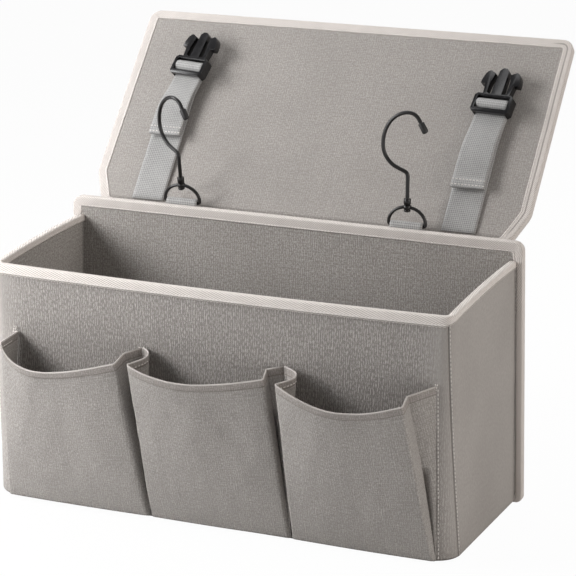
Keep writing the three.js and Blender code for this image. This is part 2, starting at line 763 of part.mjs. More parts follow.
// The male half: a frame with a foot bar, a round bar and a head, two barbed prongs and a tongue
function maleBuckle() {
  const outer = BUCKLE_WIDTH / 2;
  const inner = outer - BUCKLE_RAIL;
  const frameDepth = BUCKLE_BACK + BUCKLE_FRONT;
  const frame = new THREE.Shape();
  frame.moveTo(-outer + BUCKLE_CORNER, -BUCKLE_FOOT);
  frame.lineTo(outer - BUCKLE_CORNER, -BUCKLE_FOOT);
  frame.lineTo(outer, -BUCKLE_FOOT + BUCKLE_CORNER);
  frame.lineTo(outer, BUCKLE_HEAD - BUCKLE_CORNER);
  frame.lineTo(outer - BUCKLE_CORNER, BUCKLE_HEAD);
  frame.lineTo(-outer + BUCKLE_CORNER, BUCKLE_HEAD);
  frame.lineTo(-outer, BUCKLE_HEAD - BUCKLE_CORNER);
  frame.lineTo(-outer, -BUCKLE_FOOT + BUCKLE_CORNER);
  frame.closePath();
  const window = new THREE.Path();
  window.moveTo(-inner, -BUCKLE_FOOT + BUCKLE_FOOT_BAR);
  window.lineTo(-inner, BUCKLE_HEAD_START);
  window.lineTo(inner, BUCKLE_HEAD_START);
  window.lineTo(inner, -BUCKLE_FOOT + BUCKLE_FOOT_BAR);
  window.closePath();
  frame.holes.push(window);
  const footBarBack = -(WEBBING + LAYER_GAP + WEBBING / 2 - barSeat + BUCKLE_SWING_ROOM);
  const webbingPass = block(
    point(-inner, footBarBack, -BUCKLE_FOOT - OVERRUN),
    point(inner, BUCKLE_BACK + OVERRUN, -BUCKLE_FOOT + BUCKLE_FOOT_BAR + BUCKLE_CORNER),
  );
  const bar = post(BUCKLE_BAR_RADIUS, -inner - BUCKLE_RAIL / 2, inner + BUCKLE_RAIL / 2)
    .rotateY(Math.PI / 2);
  const prongs = new THREE.Shape();
  const root = BUCKLE_HEAD_START;
  const prongOuter = PRONG_INNER + PRONG_ARM;
  prongs.moveTo(-prongOuter, root);
  prongs.lineTo(prongOuter, root);
  prongs.lineTo(prongOuter + PRONG_ARM / 2, PRONG_BARB_START);
  prongs.lineTo(outer, PRONG_BARB_START);
  prongs.lineTo(outer, PRONG_BARB_PEAK);
  prongs.quadraticCurveTo(outer - PRONG_ARM / 2, PRONG_TIP, prongOuter, PRONG_TIP);
  prongs.lineTo(prongOuter - PRONG_NOSE, PRONG_TIP - PRONG_NOSE / 2);
  prongs.lineTo(PRONG_INNER, PRONG_BARB_START);
  prongs.lineTo(PRONG_INNER, BUCKLE_HEAD + BUCKLE_CORNER);
  prongs.lineTo(TONGUE_HALF_WIDTH, BUCKLE_HEAD);
  prongs.lineTo(TONGUE_NOSE_HALF_WIDTH, TONGUE_TIP - TONGUE_NOSE);
  prongs.lineTo(TONGUE_NOSE_HALF_WIDTH - TONGUE_NOSE, TONGUE_TIP);
  prongs.lineTo(TONGUE_NOSE - TONGUE_NOSE_HALF_WIDTH, TONGUE_TIP);
  prongs.lineTo(-TONGUE_NOSE_HALF_WIDTH, TONGUE_TIP - TONGUE_NOSE);
  prongs.lineTo(-TONGUE_HALF_WIDTH, BUCKLE_HEAD);
  prongs.lineTo(-PRONG_INNER, BUCKLE_HEAD + BUCKLE_CORNER);
  prongs.lineTo(-PRONG_INNER, PRONG_BARB_START);
  prongs.lineTo(-prongOuter + PRONG_NOSE, PRONG_TIP - PRONG_NOSE / 2);
  prongs.lineTo(-prongOuter, PRONG_TIP);
  prongs.quadraticCurveTo(-outer + PRONG_ARM / 2, PRONG_TIP, -outer, PRONG_BARB_PEAK);
  prongs.lineTo(-outer, PRONG_BARB_START);
  prongs.lineTo(-prongOuter - PRONG_ARM / 2, PRONG_BARB_START);
  prongs.closePath();
  return joined(
    cut(standingPlate(frame, -BUCKLE_FRONT, frameDepth), webbingPass),
    bar,
    standingPlate(prongs, -PRONG_THICKNESS / 2, PRONG_THICKNESS),
  );
}

function addStrap(side, name, form) {
  const root = new THREE.Group();
  const rootPlane = tapeProud + FIT_GAP + WEBBING / 2;
  root.position.set(side * STRAP_OFFSET, flapFront - rootPlane, STRAP_ROOT);
  root.rotation.x = form.lean;
  flap.add(root);
  addPart(`strap_${name}`, strap(form), greyWebbing, root);
  const buckle = addPart(`male_buckle_${name}`, maleBuckle(), blackPlastic, root);
  buckle.position.copy(strapPlace(0, -barSeat, form.buckle, form));
  buckle.rotation.set(0, form.bend, form.twist);
}

addStrap(-1, 'left', LEFT_STRAP);
addStrap(1, 'right', RIGHT_STRAP);

// D-rings on their tabs behind the rim

const ringSeat = ringRadius + FIT_GAP + WEBBING / 2;
const tabFront = backRear + tapeProud + FIT_GAP + WEBBING / 2;
const ringBar = { y: tabFront + ringSeat, z: backTop + RING_BAR_LIFT };

const ringTabPath = [
  [tabFront, ringBar.z - RING_BAR_LIFT - RING_TAB_SEWN],
  ...arcPoints(ringBar.y, ringBar.z, ringSeat, Math.PI, 0),
  [tabFront + WEBBING + LAYER_GAP, ringBar.z - 2 * ringSeat],
  [tabFront + WEBBING + LAYER_GAP, ringBar.z - RING_BAR_LIFT - RING_TAB_SEWN],
];

function dRing() {
  const path = new THREE.Path();
  path.moveTo(-RING_HALF_WIDTH + RING_CORNER, 0);
  path.lineTo(RING_HALF_WIDTH - RING_CORNER, 0);
  path.absarc(RING_HALF_WIDTH - RING_CORNER, RING_CORNER, RING_CORNER, -Math.PI / 2, 0);
  path.absellipse(0, RING_CORNER, RING_HALF_WIDTH, RING_HEIGHT - RING_CORNER, 0, Math.PI);
  path.absarc(-RING_HALF_WIDTH + RING_CORNER, RING_CORNER, RING_CORNER, Math.PI, 3 * Math.PI / 2);
  const loop = wire(path.getSpacedPoints(RING_STEPS).slice(0, -1), ringRadius, true);
  const low = RING_HEIGHT - BOSS_HEIGHT / 2;
  const boss = post(BOSS_RADIUS, low, low + BOSS_HEIGHT);
  const bore = post(hookRadius + FIT_GAP, low - OVERRUN, low + BOSS_HEIGHT + OVERRUN);
  return cut(joined(loop, boss), bore);
}

// The hook's centre line: shank, neck, cheek, crown, brow and tip, as [across, up] from the bar
function hookLine() {
  const path = new THREE.Path();
  const neck = new THREE.Vector2(
    -HOOK_NECK_RADIUS * (1 - Math.cos(HOOK_NECK_TURN)),
    HOOK_SHANK + HOOK_NECK_RADIUS * Math.sin(HOOK_NECK_TURN),
  );
  const cheek = new THREE.Vector2(
    neck.x - HOOK_NECK_RUN * Math.sin(HOOK_NECK_TURN),
    neck.y + HOOK_NECK_RUN * Math.cos(HOOK_NECK_TURN),
  );
  const cheekCentre = new THREE.Vector2(
    cheek.x + HOOK_CHEEK_RADIUS * Math.cos(HOOK_NECK_TURN),
    cheek.y + HOOK_CHEEK_RADIUS * Math.sin(HOOK_NECK_TURN),
  );
  const crownMiddle = cheekCentre.x - HOOK_CHEEK_RADIUS + HOOK_CROWN_HALF_WIDTH;
  const browCentre = cheekCentre.y + HOOK_CROWN_RISE - HOOK_BROW_RADIUS;
  const browEnd = Math.PI / 2 - HOOK_BROW_TURN;
  const brow = new THREE.Vector2(
    crownMiddle + HOOK_BROW_RADIUS * Math.cos(browEnd),
    browCentre + HOOK_BROW_RADIUS * Math.sin(browEnd),
  );
  path.moveTo(0, RING_HEIGHT - BOSS_HEIGHT / 2 - FIT_GAP - RIVET_HEIGHT / 2);
  path.lineTo(0, HOOK_SHANK);
  path.absarc(-HOOK_NECK_RADIUS, HOOK_SHANK, HOOK_NECK_RADIUS, 0, HOOK_NECK_TURN);
  path.lineTo(cheek.x, cheek.y);
  path.absarc(cheekCentre.x, cheekCentre.y, HOOK_CHEEK_RADIUS,
    Math.PI + HOOK_NECK_TURN, Math.PI, true);
  path.absellipse(crownMiddle, cheekCentre.y, HOOK_CROWN_HALF_WIDTH, HOOK_CROWN_RISE,
    Math.PI, Math.PI / 2, true);
  path.absarc(crownMiddle, browCentre, HOOK_BROW_RADIUS, Math.PI / 2, browEnd, true);
  path.lineTo(
    brow.x + HOOK_TIP_RUN * Math.cos(HOOK_BROW_TURN),
    brow.y - HOOK_TIP_RUN * Math.sin(HOOK_BROW_TURN),
  );
  return path.getPoints(CURVE_STEPS);
}

// Points closer than a hair's breadth would fold the wire's rings
function spaced(points) {
  return points.filter((place, i) => i === 0 || place.distanceTo(points[i - 1]) > FIT_GAP);
}

function hookWire(line) {
  const high = RING_HEIGHT - BOSS_HEIGHT / 2 - FIT_GAP;
  const low = high - RIVET_HEIGHT;
  const rivet = turned([
    [0, low], [RIVET_RADIUS - RIVET_CHAMFER, low],
    [RIVET_RADIUS, low + RIVET_CHAMFER], [RIVET_RADIUS, high], [0, high],
  ]);
  return joined(wire(line, hookRadius), rivet);
}

function hookCollar() {
  const low = RING_HEIGHT + BOSS_HEIGHT / 2 + FIT_GAP;
  const bore = post(hookRadius + FIT_GAP, low - OVERRUN, low + COLLAR_HEIGHT + OVERRUN);
  return cut(post(COLLAR_RADIUS, low, low + COLLAR_HEIGHT), bore);
}

// A dipped cap, closed at the end, drawn on the Z axis and then laid along the hook's tip
function hookCap(line) {
  const end = line[line.length - 1];
  const before = line[line.length - 2];
  const along = new THREE.Vector2().subVectors(end, before).normalize();
  const bore = hookRadius + FIT_GAP;
  const outer = bore + CAP_WALL;
  const top = FIT_GAP + CAP_WALL;
  const cap = turned([
    [0, FIT_GAP], [bore, FIT_GAP], [bore, top - CAP_LENGTH], [outer, top - CAP_LENGTH],
    [outer, 0], [bore, top], [0, top],
  ]);
  return cap.rotateY(Math.atan2(along.x, along.y)).translate(end.x, 0, end.y);
}

function addRing(place, name, lean, turn) {
  const tab = addPart(`ring_tab_${name}`,
    strip(ringTabPath, evenly(ringTabPath, WEBBING), TAB_WIDTH), greyWebbing);
  tab.position.x = place;
  const ring = new THREE.Group();
  ring.position.set(place, ringBar.y, ringBar.z);
  ring.rotation.x = lean;
  caddy.add(ring);
  addPart(`d_ring_${name}`, dRing(), blackSteel, ring);
  const hook = new THREE.Group();
  hook.rotation.z = turn;
  ring.add(hook);
  const line = spaced(hookLine());
  addPart(`hook_${name}`, hookWire(line), blackSteel, hook);
  addPart(`hook_collar_${name}`, hookCollar(), blackSteel, hook);
  addPart(`hook_cap_${name}`, hookCap(line), blackPlastic, hook);
}

addRing(-RING_LEFT_PLACE, 'left', LEFT_RING_LEAN, LEFT_HOOK_TURN);
addRing(RING_RIGHT_PLACE, 'right', 0, 0);

// Female buckles, hanging on tabs behind the back panel

const socketTabTop = bandLevel - HINGE_BEND - HINGE_SEWN - SOCKET_TAB_DROP;
const socketBar = {
  y: backRear + SOCKET_STANDOFF,
  z: socketTabTop - SOCKET_TAB_SEWN - SOCKET_TAB_HANG,
};
const socketTabFront = backRear + FIT_GAP + WEBBING / 2;
const socketTabPath = [
  [socketTabFront, socketTabTop],
  [socketTabFront, socketTabTop - SOCKET_TAB_SEWN],
  ...arcPoints(socketBar.y, socketBar.z, barSeat, Math.PI, 2 * Math.PI),
  [socketTabFront + WEBBING + LAYER_GAP, socketTabTop - SOCKET_TAB_SEWN],
  [socketTabFront + WEBBING + LAYER_GAP, socketTabTop],
];

// The female half: a neck with the webbing bar and a hollow body, open at the mouth and the sides
function socket() {
  const outer = BUCKLE_WIDTH / 2;
  const inner = outer - BUCKLE_RAIL;
  const slotFoot = -BUCKLE_BAR_RADIUS - SOCKET_SLOT;
  const halfBody = SOCKET_THICKNESS / 2;
  const halfNeck = SOCKET_NECK_THICKNESS / 2;
  const neck = cut(
    block(
      point(-outer, -halfNeck, slotFoot - OVERRUN),
      point(outer, halfNeck, BUCKLE_BAR_RADIUS),
    ),
    block(
      point(-inner, -halfNeck - OVERRUN, slotFoot),
      point(inner, halfNeck + OVERRUN, BUCKLE_BAR_RADIUS + OVERRUN),
    ),
  );
  const bar = post(BUCKLE_BAR_RADIUS, -inner - BUCKLE_RAIL / 2, inner + BUCKLE_RAIL / 2)
    .rotateY(Math.PI / 2);
  const side = [
    [-halfNeck, slotFoot], [halfNeck, slotFoot], [halfBody, slotFoot - SOCKET_SHOULDER],
    [halfBody, -SOCKET_LENGTH], [-halfBody, -SOCKET_LENGTH], [-halfBody, slotFoot - SOCKET_SHOULDER],
  ];
  const profile = (x) => side.map(([y, z]) => point(x, y, z));
  const body = loft([profile(-outer), profile(outer)]);
  const cavityTop = SOCKET_MOUTH_DEPTH - SOCKET_LENGTH;
  const mouth = block(
    point(-outer + SOCKET_WALL, -halfBody + SOCKET_WALL, -SOCKET_LENGTH - OVERRUN),
    point(outer - SOCKET_WALL, halfBody - SOCKET_WALL, cavityTop),
  );
  const sideWindows = block(
    point(-outer - OVERRUN, -halfBody + SOCKET_WALL, -SOCKET_WINDOW_START - SOCKET_WINDOW_LENGTH),
    point(outer + OVERRUN, halfBody - SOCKET_WALL, -SOCKET_WINDOW_START),
  );
  return joined(neck, bar, cut(body, mouth, sideWindows));
}

function addSocket(side, name) {
  const tab = addPart(`socket_tab_${name}`,
    strip(socketTabPath, evenly(socketTabPath, WEBBING), TAB_WIDTH), greyWebbing);
  tab.position.x = side * STRAP_OFFSET;
  const half = addPart(`socket_${name}`, socket(), blackPlastic);
  half.position.set(side * STRAP_OFFSET, socketBar.y, socketBar.z);
}

addSocket(-1, 'left');
addSocket(1, 'right');

export default caddy;
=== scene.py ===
"""The looks of a bedside caddy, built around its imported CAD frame. Sizes are in millimetres."""
from math import acos, atan2, copysign, cos, degrees, exp, log, pi, radians, sin, tan

import bmesh
import bpy
from mathutils import Matrix, Vector, noise


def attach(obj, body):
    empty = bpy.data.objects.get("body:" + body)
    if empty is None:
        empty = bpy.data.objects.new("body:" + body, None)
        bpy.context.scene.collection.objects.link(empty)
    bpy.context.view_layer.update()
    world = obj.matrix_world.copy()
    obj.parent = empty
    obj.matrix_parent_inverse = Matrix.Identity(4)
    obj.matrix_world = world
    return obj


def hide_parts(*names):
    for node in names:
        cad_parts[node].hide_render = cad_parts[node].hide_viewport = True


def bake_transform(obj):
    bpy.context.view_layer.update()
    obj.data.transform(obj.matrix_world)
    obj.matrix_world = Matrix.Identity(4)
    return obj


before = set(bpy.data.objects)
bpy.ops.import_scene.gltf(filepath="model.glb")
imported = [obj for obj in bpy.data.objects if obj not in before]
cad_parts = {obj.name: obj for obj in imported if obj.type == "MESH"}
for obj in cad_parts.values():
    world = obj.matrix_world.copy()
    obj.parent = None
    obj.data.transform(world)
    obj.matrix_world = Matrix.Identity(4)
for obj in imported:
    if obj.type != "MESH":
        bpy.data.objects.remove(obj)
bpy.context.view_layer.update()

MM = 0.001

# Camera: fitted to the photograph's straight edges. Its turns are pitch, yaw and roll in degrees
CAMERA_PLACE = (678.417, -1513.776, 613.946)
CAMERA_TURNS = (15.469, 23.293, 0.198)
CAMERA_LENS = 154.40
SENSOR = 36

# Box
BOX_WIDTH = 340
BOX_DEPTH = 130
FRONT_HEIGHT = 170.5
SIDE_RISE = 6.5
FRONT_SAG = 1.4
CORNER_RADIUS = 18
RIM_CORNER = 7
FLARE = 4
# The upright seam at each front corner: its turn from the side at the foot and at the rim
SEAM_TURNS = (-13.5, -56)
FOOT_ROUND = 2.6
# Stations round the walls: along each side, round each corner and along the front
SIDE_STEPS = 28
CORNER_STEPS = 12
FRONT_STEPS = 76
# Steps up the cover and the lining, across the floor, and up and across a panel's cloth
COVER_STEPS = 32
LINING_STEPS = 24
FLOOR_STEPS = 24
SHEET_UP = 48
SHEET_ACROSS = 72
OUTLINE_PITCH = 4.2
FRONT_TAPE_WIDTH = 7.4
SIDE_TAPE_WIDTH = 5
TAPE_WIDTH = 8
FOOT_TAPE = 4
TAPE = 0.6
FOLD_ROUND = 1.3
STITCH_INSET = 1.3
GAP = 0.3
# A hair's breadth that keeps two faces apart
HAIR = 0.05
CLOTH = 0.8
WALL = 3.5
PANEL = 4.6
LINING_FLOOR = 4.0
# The underside's sheet, and the cover's edge, turned in under the walls
UNDERSIDE = 0.1
UNDERSIDE_INSET = 7
TURNED_IN = 8
FOOT_FLAT = 3.2

# Back panel and flap
BACK_RISE = 20
BACK_HALF = 174.8
FLAP_LENGTH = 168.8
FLAP_HALF = 169.1
FLAP_TILT = radians(41.3)
HINGE_Y = 83.4
HINGE_Z = 180.2
BAND_WIDTH = 300
BAND_CLOTH = 0.9
BAND_SEWN = 30
# The flap's lower corners are cut: how far in at the foot, and how far up the side
FLAP_TAPER = 10.2
FLAP_CHEEK = 23.8

# Pockets
POCKET_HEIGHT = 123.5
POCKET_FOOT = 2
FOLD_DEPTH = 26
FOOT_DEPTH = 3
BELLY = 6
HEM = 5.6
LIP = 1.2
SEAM_GAP = 0.5
FLANGE_FOOT = 1.4
FLANGE_MOUTH = 3
INSET_FOOT = 2.2
SEAM_TOPS = (-151.64, -53.04, 52.02, 159.8)
SEAM_FEET = (-157.1, -46.6, 57.5, 159.8)
LEFT_INSETS = (3, 1.2, 4.7)
RIGHT_INSETS = (8.5, 8, 14)
RIGHT_DEPTHS = (1, 0.65, 1)
# Where each right gusset bends: aside of the seam and forward of the wall
RIGHT_KNEES = ((10.5, 9), (12.5, 3), (17, 12))
# How many times each right fold is smoothed under the mouth, and how far the left gussets bow
RIGHT_ROUNDS = (16, 12, 0)
LEFT_BOWS = (0, 7, 10)
# How far the mouth's edge lies under the seams' tops at each left fold and right fold
LEFT_DROPS = (1, 5, 5)
RIGHT_DROPS = (5.6, 5.6, 8.5)
MOUTH_STEP = 2.6
MOUTH_SAGS = (14.6, 7.4, 10)
MOUTH_LOWS = (0.3, 0.43, 0.5)
# Soft dents of each pocket's face: place across and up, reach across and up, depth
DENTS = (
    ((0.50, 0.70, 0.20, 0.45, 1.8), (0.90, 0.30, 0.12, 0.40, -1.2)),
    ((0.72, 0.60, 0.20, 0.50, 2.4), (0.30, 0.20, 0.20, 0.30, 1.0)),
    ((0.66, 0.62, 0.22, 0.50, 2.6), (0.25, 0.15, 0.20, 0.25, 1.2)),
)

# Where tacks close the tops of the pockets' seams
TACKS = ((-152.2, 123.0), (-55.3, 119.5), (158.8, 120.5))
TACK_APART = 0.7
TACK_LEAN = 0.25
TACK_OUT = 1.5
TACK_UP = (0, 1.2, 2.4, 3.6)
# Stitches along the corner seams, and along the last pocket's edge: aside and out
SEAM_ASIDE = (1.2, 0.3)
EDGE_ROWS = ((-1.7, 1.45), (0.7, 0.4))

# How many points a pocket's cloth has across its belly and each gusset, how many come before
# its face at either end, and which of them, from the right end, the rounding moves
FACE_STEPS = 64
GUSSET_STEPS = 12
FACE_START = 18
ROUND_FROM = 36
ROUND_TO = 10

# Straps, rings and hooks
STRAP_OFFSET = 121.8
STRAP_WIDTH = 25.4
STRAP_LENGTH = 182
STRAP_ROOT = 4.8
WEBBING = 1.3
TAB_WIDTH = 24.4
WEBBING_STEPS = 14
# How far the webbing's front layer and its hem lie off the back layer
FRONT_LIFT = 1.75
TAIL_LIFT = 4.4
STRAP_HEM = 2.8
STRAP_END = 2.2
# The stitches of a strap's hem: half their width, and their heights above the tail's end
SEWN_HALF = 11.6
SEWN_UP = (2.0, 6.2)
BUCKLE_EDGE = 0.55
SOCKET_EDGE = 0.8
# Place of the buckle's bar, then lean, sideways bend and twist in degrees
STRAP_FORMS = {"left": (111.5, 2, 10, -12), "right": (101.8, 1, 6.4, -8)}
BEND_START = 41
BEND_LENGTH = 20
BAR_SEAT = 3.55
RING_PLACES = {"left": -89.2, "right": 86.2}
RING_Y = 73.6
RING_Z = 191.8
RING_LEANS = {"left": radians(10), "right": 0.0}
HOOK_TURNS = {"left": radians(-24.5), "right": 0.0}
RING_WIRE = 1.2
RING_HALF = 13.9
RING_CORNER = 1.6
RING_BOW = 11.7
RING_SEAT = 2.15
RING_SEWN = 8.5
# The hook's line: wire, foot, shank, neck, cheek, crown, brow and the straight run of its tip
HOOK_WIRE = 1.4
HOOK_FOOT = 10.7
SHANK = 35.3
NECK = 4
NECK_TURN = 68
NECK_RUN = 6
CHEEK = 17.3
CROWN_HALF = 19.2
CROWN_RISE = 23.7
BROW = 8.5
BROW_TURN = 60
TIP_RUN = 10
# Turned pieces: a height or a distance along the axis, and the radius there
BOSS = ((11.75, 2.0), (11.8, 2.4), (12.1, 2.8), (13.3, 2.95), (14.5, 2.8), (14.8, 2.4),
        (14.85, 2.0))
RIVET = ((9.75, 1.2), (9.85, 1.9), (10.3, 2.4), (10.9, 2.5), (11.45, 2.3))
SLEEVE = ((15.1, 2.0), (15.2, 2.4), (15.5, 2.6), (19.2, 2.6), (19.5, 2.4), (19.6, 1.8))
CAP = ((-7.1, 1.5), (-7.1, 2.1), (-6.8, 2.3), (-3, 2.32), (-0.6, 2.3), (0.1, 2.1), (0.6, 1.6),
       (0.85, 0.9), (0.95, 0.2))
SOCKET_STANDOFF = 6
SOCKET_Z = 113.5
SOCKET_TOP = 147.5
SOCKET_SEWN = 14
SIDES = (("left", -1), ("right", 1))

HALF_WIDTH = BOX_WIDTH / 2
HALF_DEPTH = BOX_DEPTH / 2
PROUD = GAP + TAPE
# The tape's inner edge and the outer edge of a panel's cloth, from the edge of the board
TAPE_EDGE = PROUD - TAPE_WIDTH
SHEET_INSET = 2.5
WALL_HEIGHT = FRONT_HEIGHT - PROUD
WALL_REAR = HALF_DEPTH - GAP
BACK_TOP = FRONT_HEIGHT + BACK_RISE
BACK_REAR = HALF_DEPTH + PANEL

# Threads and ribs of the cloths, each by its pitch
WEAVE_PITCH = 0.78
WARP_PITCH = 1.5
WEFT_PITCH = 1.4
RIB_PITCH = 2.3
SEWN_PITCH = 2.6
CORD_PITCH = 1.45
PICK_PITCH = 1.5

# Stitches: pitch, length and thickness
TAPE_STITCHES = (2.9, 2.3, 0.42)
HEM_STITCHES = (2.6, 2.1, 0.75)
SEAM_STITCHES = (2.8, 2.2, 0.7)
TACK_STITCHES = (1.3, 1.5, 0.8)
STRAP_STITCHES = (2.4, 1.9, 0.6)

# Lamps: place, what each is aimed at, size, power and colour
WHITE = (1.0, 1.0, 1.0)
LAMPS = {
    "key": ((-750, -260, 640), (0, 20, 180), 420, 6.4, WHITE),
    "wash": ((-420, -380, 300), (0, 0, 130), 200, 1.6, WHITE),
    "top": ((700, -250, 1500), (0, 0, 150), 900, 2.2, WHITE),
    "rear": ((-300, 600, 1100), (0, 50, 200), 1000, 6.6, WHITE),
    "side": ((1500, -100, 600), (0, 0, 100), 700, 8.2, (1.0, 0.94, 0.88)),
}
SKY = 0.14
FLOOR_Z = -0.0005
FLOOR_GLOW = 0.97


def lerp(a, b, share):
    return a + (b - a) * share


def smooth(share):
    share = min(max(share, 0.0), 1.0)
    return share * share * (3 - 2 * share)


def add_object(name, data):
    thing = bpy.data.objects.new(name, data)
    bpy.context.collection.objects.link(thing)
    return thing


# Camera

def place_camera():
    camera = add_object("camera", bpy.data.cameras.new("camera"))
    pitch, yaw, roll = (radians(turn) for turn in CAMERA_TURNS)
    looking = Matrix.Rotation(yaw, 4, "Z") @ Matrix.Rotation(pi / 2 - pitch, 4, "X")
    camera.matrix_world = (Matrix.Translation(Vector(CAMERA_PLACE) * MM) @ looking
                           @ Matrix.Rotation(roll, 4, "Z"))
    camera.data.lens = CAMERA_LENS
    camera.data.sensor_width = SENSOR
    camera.data.clip_end = 20
    bpy.context.scene.camera = camera


place_camera()


# Finishes

class Field:
    """A value that changes over a surface. Arithmetic on it adds shader nodes."""

    def __init__(self, recipe, socket):
        self.recipe = recipe
        self.socket = socket

    def math(self, operation, *values):
        return self.recipe.node("ShaderNodeMath", {"operation": operation}, values)

    def __add__(self, other):
        return self.math("ADD", self, other)

    def __sub__(self, other):
        return self.math("SUBTRACT", self, other)

    def __mul__(self, other):
        return self.math("MULTIPLY", self, other)

    def sine(self):
        return self.math("SINE", self)

    def size(self):
        return self.math("ABSOLUTE", self)

    def between(self, low, high):
        """0 below low and 1 above high."""
        return self.recipe.node("ShaderNodeMapRange", {"interpolation_type": "SMOOTHSTEP"},
                                {"Value": self, "From Min": low, "From Max": high})

    def near(self, middle, reach, low, high):
        """1 close to a value and 0 further off."""
        return ((self - middle).size() * -1.0 + reach).between(low, high)

    def rows(self, pitch, stray=0.0):
        """Soft rows at a pitch, pushed aside by what strays."""
        return (self * (2 * pi / pitch) + stray).sine() * 0.5 + 0.5

    __radd__ = __add__
    __rmul__ = __mul__


class Recipe:
    """A material under construction."""

    def __init__(self, name, roughness, **constants):
        self.material = bpy.data.materials.new(name)
        self.material.use_nodes = True
        self.tree = self.material.node_tree
        self.shader = self.tree.nodes["Principled BSDF"]
        self.shader.inputs["Roughness"].default_value = roughness
        for socket, value in constants.items():
            self.shader.inputs[socket.replace("_", " ")].default_value = value

    def feed(self, socket, value):
        if isinstance(value, Field):
            self.tree.links.new(value.socket, socket)
        else:
            socket.default_value = tone(value) if isinstance(value, str) else value

    def node(self, kind, settings=None, values=(), output=0):
        node = self.tree.nodes.new(kind)
        for setting, value in (settings or {}).items():
            setattr(node, setting, value)
        named = values.items() if isinstance(values, dict) else enumerate(values)
        for key, value in named:
            self.feed(node.inputs[key], value)
        return Field(self, node.outputs[output])

    def cloth_place(self):
        """How far along and across the cloth, in millimetres."""
        uv = self.node("ShaderNodeUVMap", {"uv_map": "cloth"})
        along = self.node("ShaderNodeSeparateXYZ", values=(uv,))
        across = Field(self, along.socket.node.outputs[1])
        return along * 1000, across * 1000

    def mark(self, label):
        """A value the piece carries on its points, or 0 where it has none."""
        marks = self.node("ShaderNodeAttribute", {"attribute_name": label})
        return Field(self, marks.socket.node.outputs[2])

    def noise(self, x, y, detail, roughness=0.5):
        place = self.node("ShaderNodeCombineXYZ", values=(x, y, 0.0))
        return self.node("ShaderNodeTexNoise", {"noise_dimensions": "2D"}, {
            "Vector": place, "Scale": 1.0, "Detail": detail, "Roughness": roughness})

    def body_noise(self, scale):
        place = self.node("ShaderNodeTexCoord", output=3)
        return self.node("ShaderNodeTexNoise", values={
            "Vector": place, "Scale": scale, "Detail": 3.0})

    def blend(self, share, first, second):
        return self.node("ShaderNodeMix", {"data_type": "RGBA"}, {0: share, 6: first, 7: second}, 2)

    def colour(self, value):
        self.feed(self.shader.inputs["Base Color"], value)

    def relief(self, height, depth_mm, strength):
        bump = self.node("ShaderNodeBump", values={
            "Strength": strength, "Distance": depth_mm * MM, "Height": height})
        self.feed(self.shader.inputs["Normal"], bump)


def tone(code):
    """A colour written as the eye sees it, as linear light."""
    def linear(part):
        return part / 12.92 if part <= 0.04045 else ((part + 0.055) / 1.055) ** 2.4
    return tuple(linear(int(code[i:i + 2], 16) / 255) for i in (0, 2, 4)) + (1.0,)


def linen(name, dark, middle, light, upright, depth, is_seamed=False):
    """Plain-woven slub linen. upright is how far its thick threads run up the cloth."""
    recipe = Recipe(name, 0.92, Sheen_Weight=0.08, Sheen_Roughness=0.5, Specular_IOR_Level=0.15)
    u, v = recipe.cloth_place()
    calm = recipe.mark("calm")
    lively = calm * -0.75 + 1.0
    weave = ((u * (pi / WEAVE_PITCH)).sine() * (v * (pi / WEAVE_PITCH)).sine()) * 0.5 + 0.5
    strokes = recipe.noise(u * 1.3, v * lerp(1.0, 0.3, upright), 1.0, 0.4).between(0.35, 0.65)
    grain = recipe.noise(u * 1.9 + 31.0, v * 1.7, 1.0).between(0.3, 0.7)
    slubs = recipe.noise(u * 0.22 + 11.0, v * 1.2, 1.0).between(0.3, 0.7)
    warp = u.rows(WARP_PITCH, recipe.noise(u * 0.3, v * 0.06, 1.0) * 9.0)
    weft = v.rows(WEFT_PITCH, recipe.noise(u * 0.05, v * 0.3, 1.0) * 9.0)
    clouds = recipe.noise(u * 0.02, v * 0.02, 3.0)
    threads = warp * (strokes * 0.8 + 0.2) * upright + weft * (slubs * 0.8 + 0.2) * (1 - upright)
    mottle = threads * 0.6 + grain * 0.25 + strokes * 0.15
    tint = mottle.between(0.05, 0.85) * lively + calm * 0.375
    lower = recipe.blend(tint, dark, middle)
    upper = recipe.blend(tint, middle, light)
    shade = recipe.blend(weave * 0.25 + tint * 0.75, lower, upper)
    shade = recipe.blend(clouds.between(0.3, 0.75) * 0.16, shade, dark)
    hem = recipe.mark("hem")
    sewn = POCKET_HEIGHT - HEM
    height = (mottle * 1.1 + weave * 0.2) * lively
    marks = [((hem - sewn).between(0.0, 0.3) * 0.22, "82766f"),
             # painted shade in the crease along the hem's stitched line
             (hem.near(sewn, 0.7, 0.0, 0.6) * 0.6, "6f6660"),
             # painted highlight along the mouth's folded top edge
             ((hem - (POCKET_HEIGHT - LIP)).between(0.0, 0.7) * 0.75, "d8d2ce"),
             # painted shade along the foot, where the cloth meets the floor
             (recipe.mark("foot") * 0.65, "57504b")]
    if is_seamed:
        seam = recipe.mark("seam").near(0.0, 0.8, 0.1, 0.7)
        marks.append((seam * 0.5, "5c5550"))
        height = height - seam * 1.5
    for share, code in marks:
        shade = recipe.blend(share, shade, code)
    recipe.colour(shade)
    recipe.relief(height, depth, 0.9)
    return recipe.material


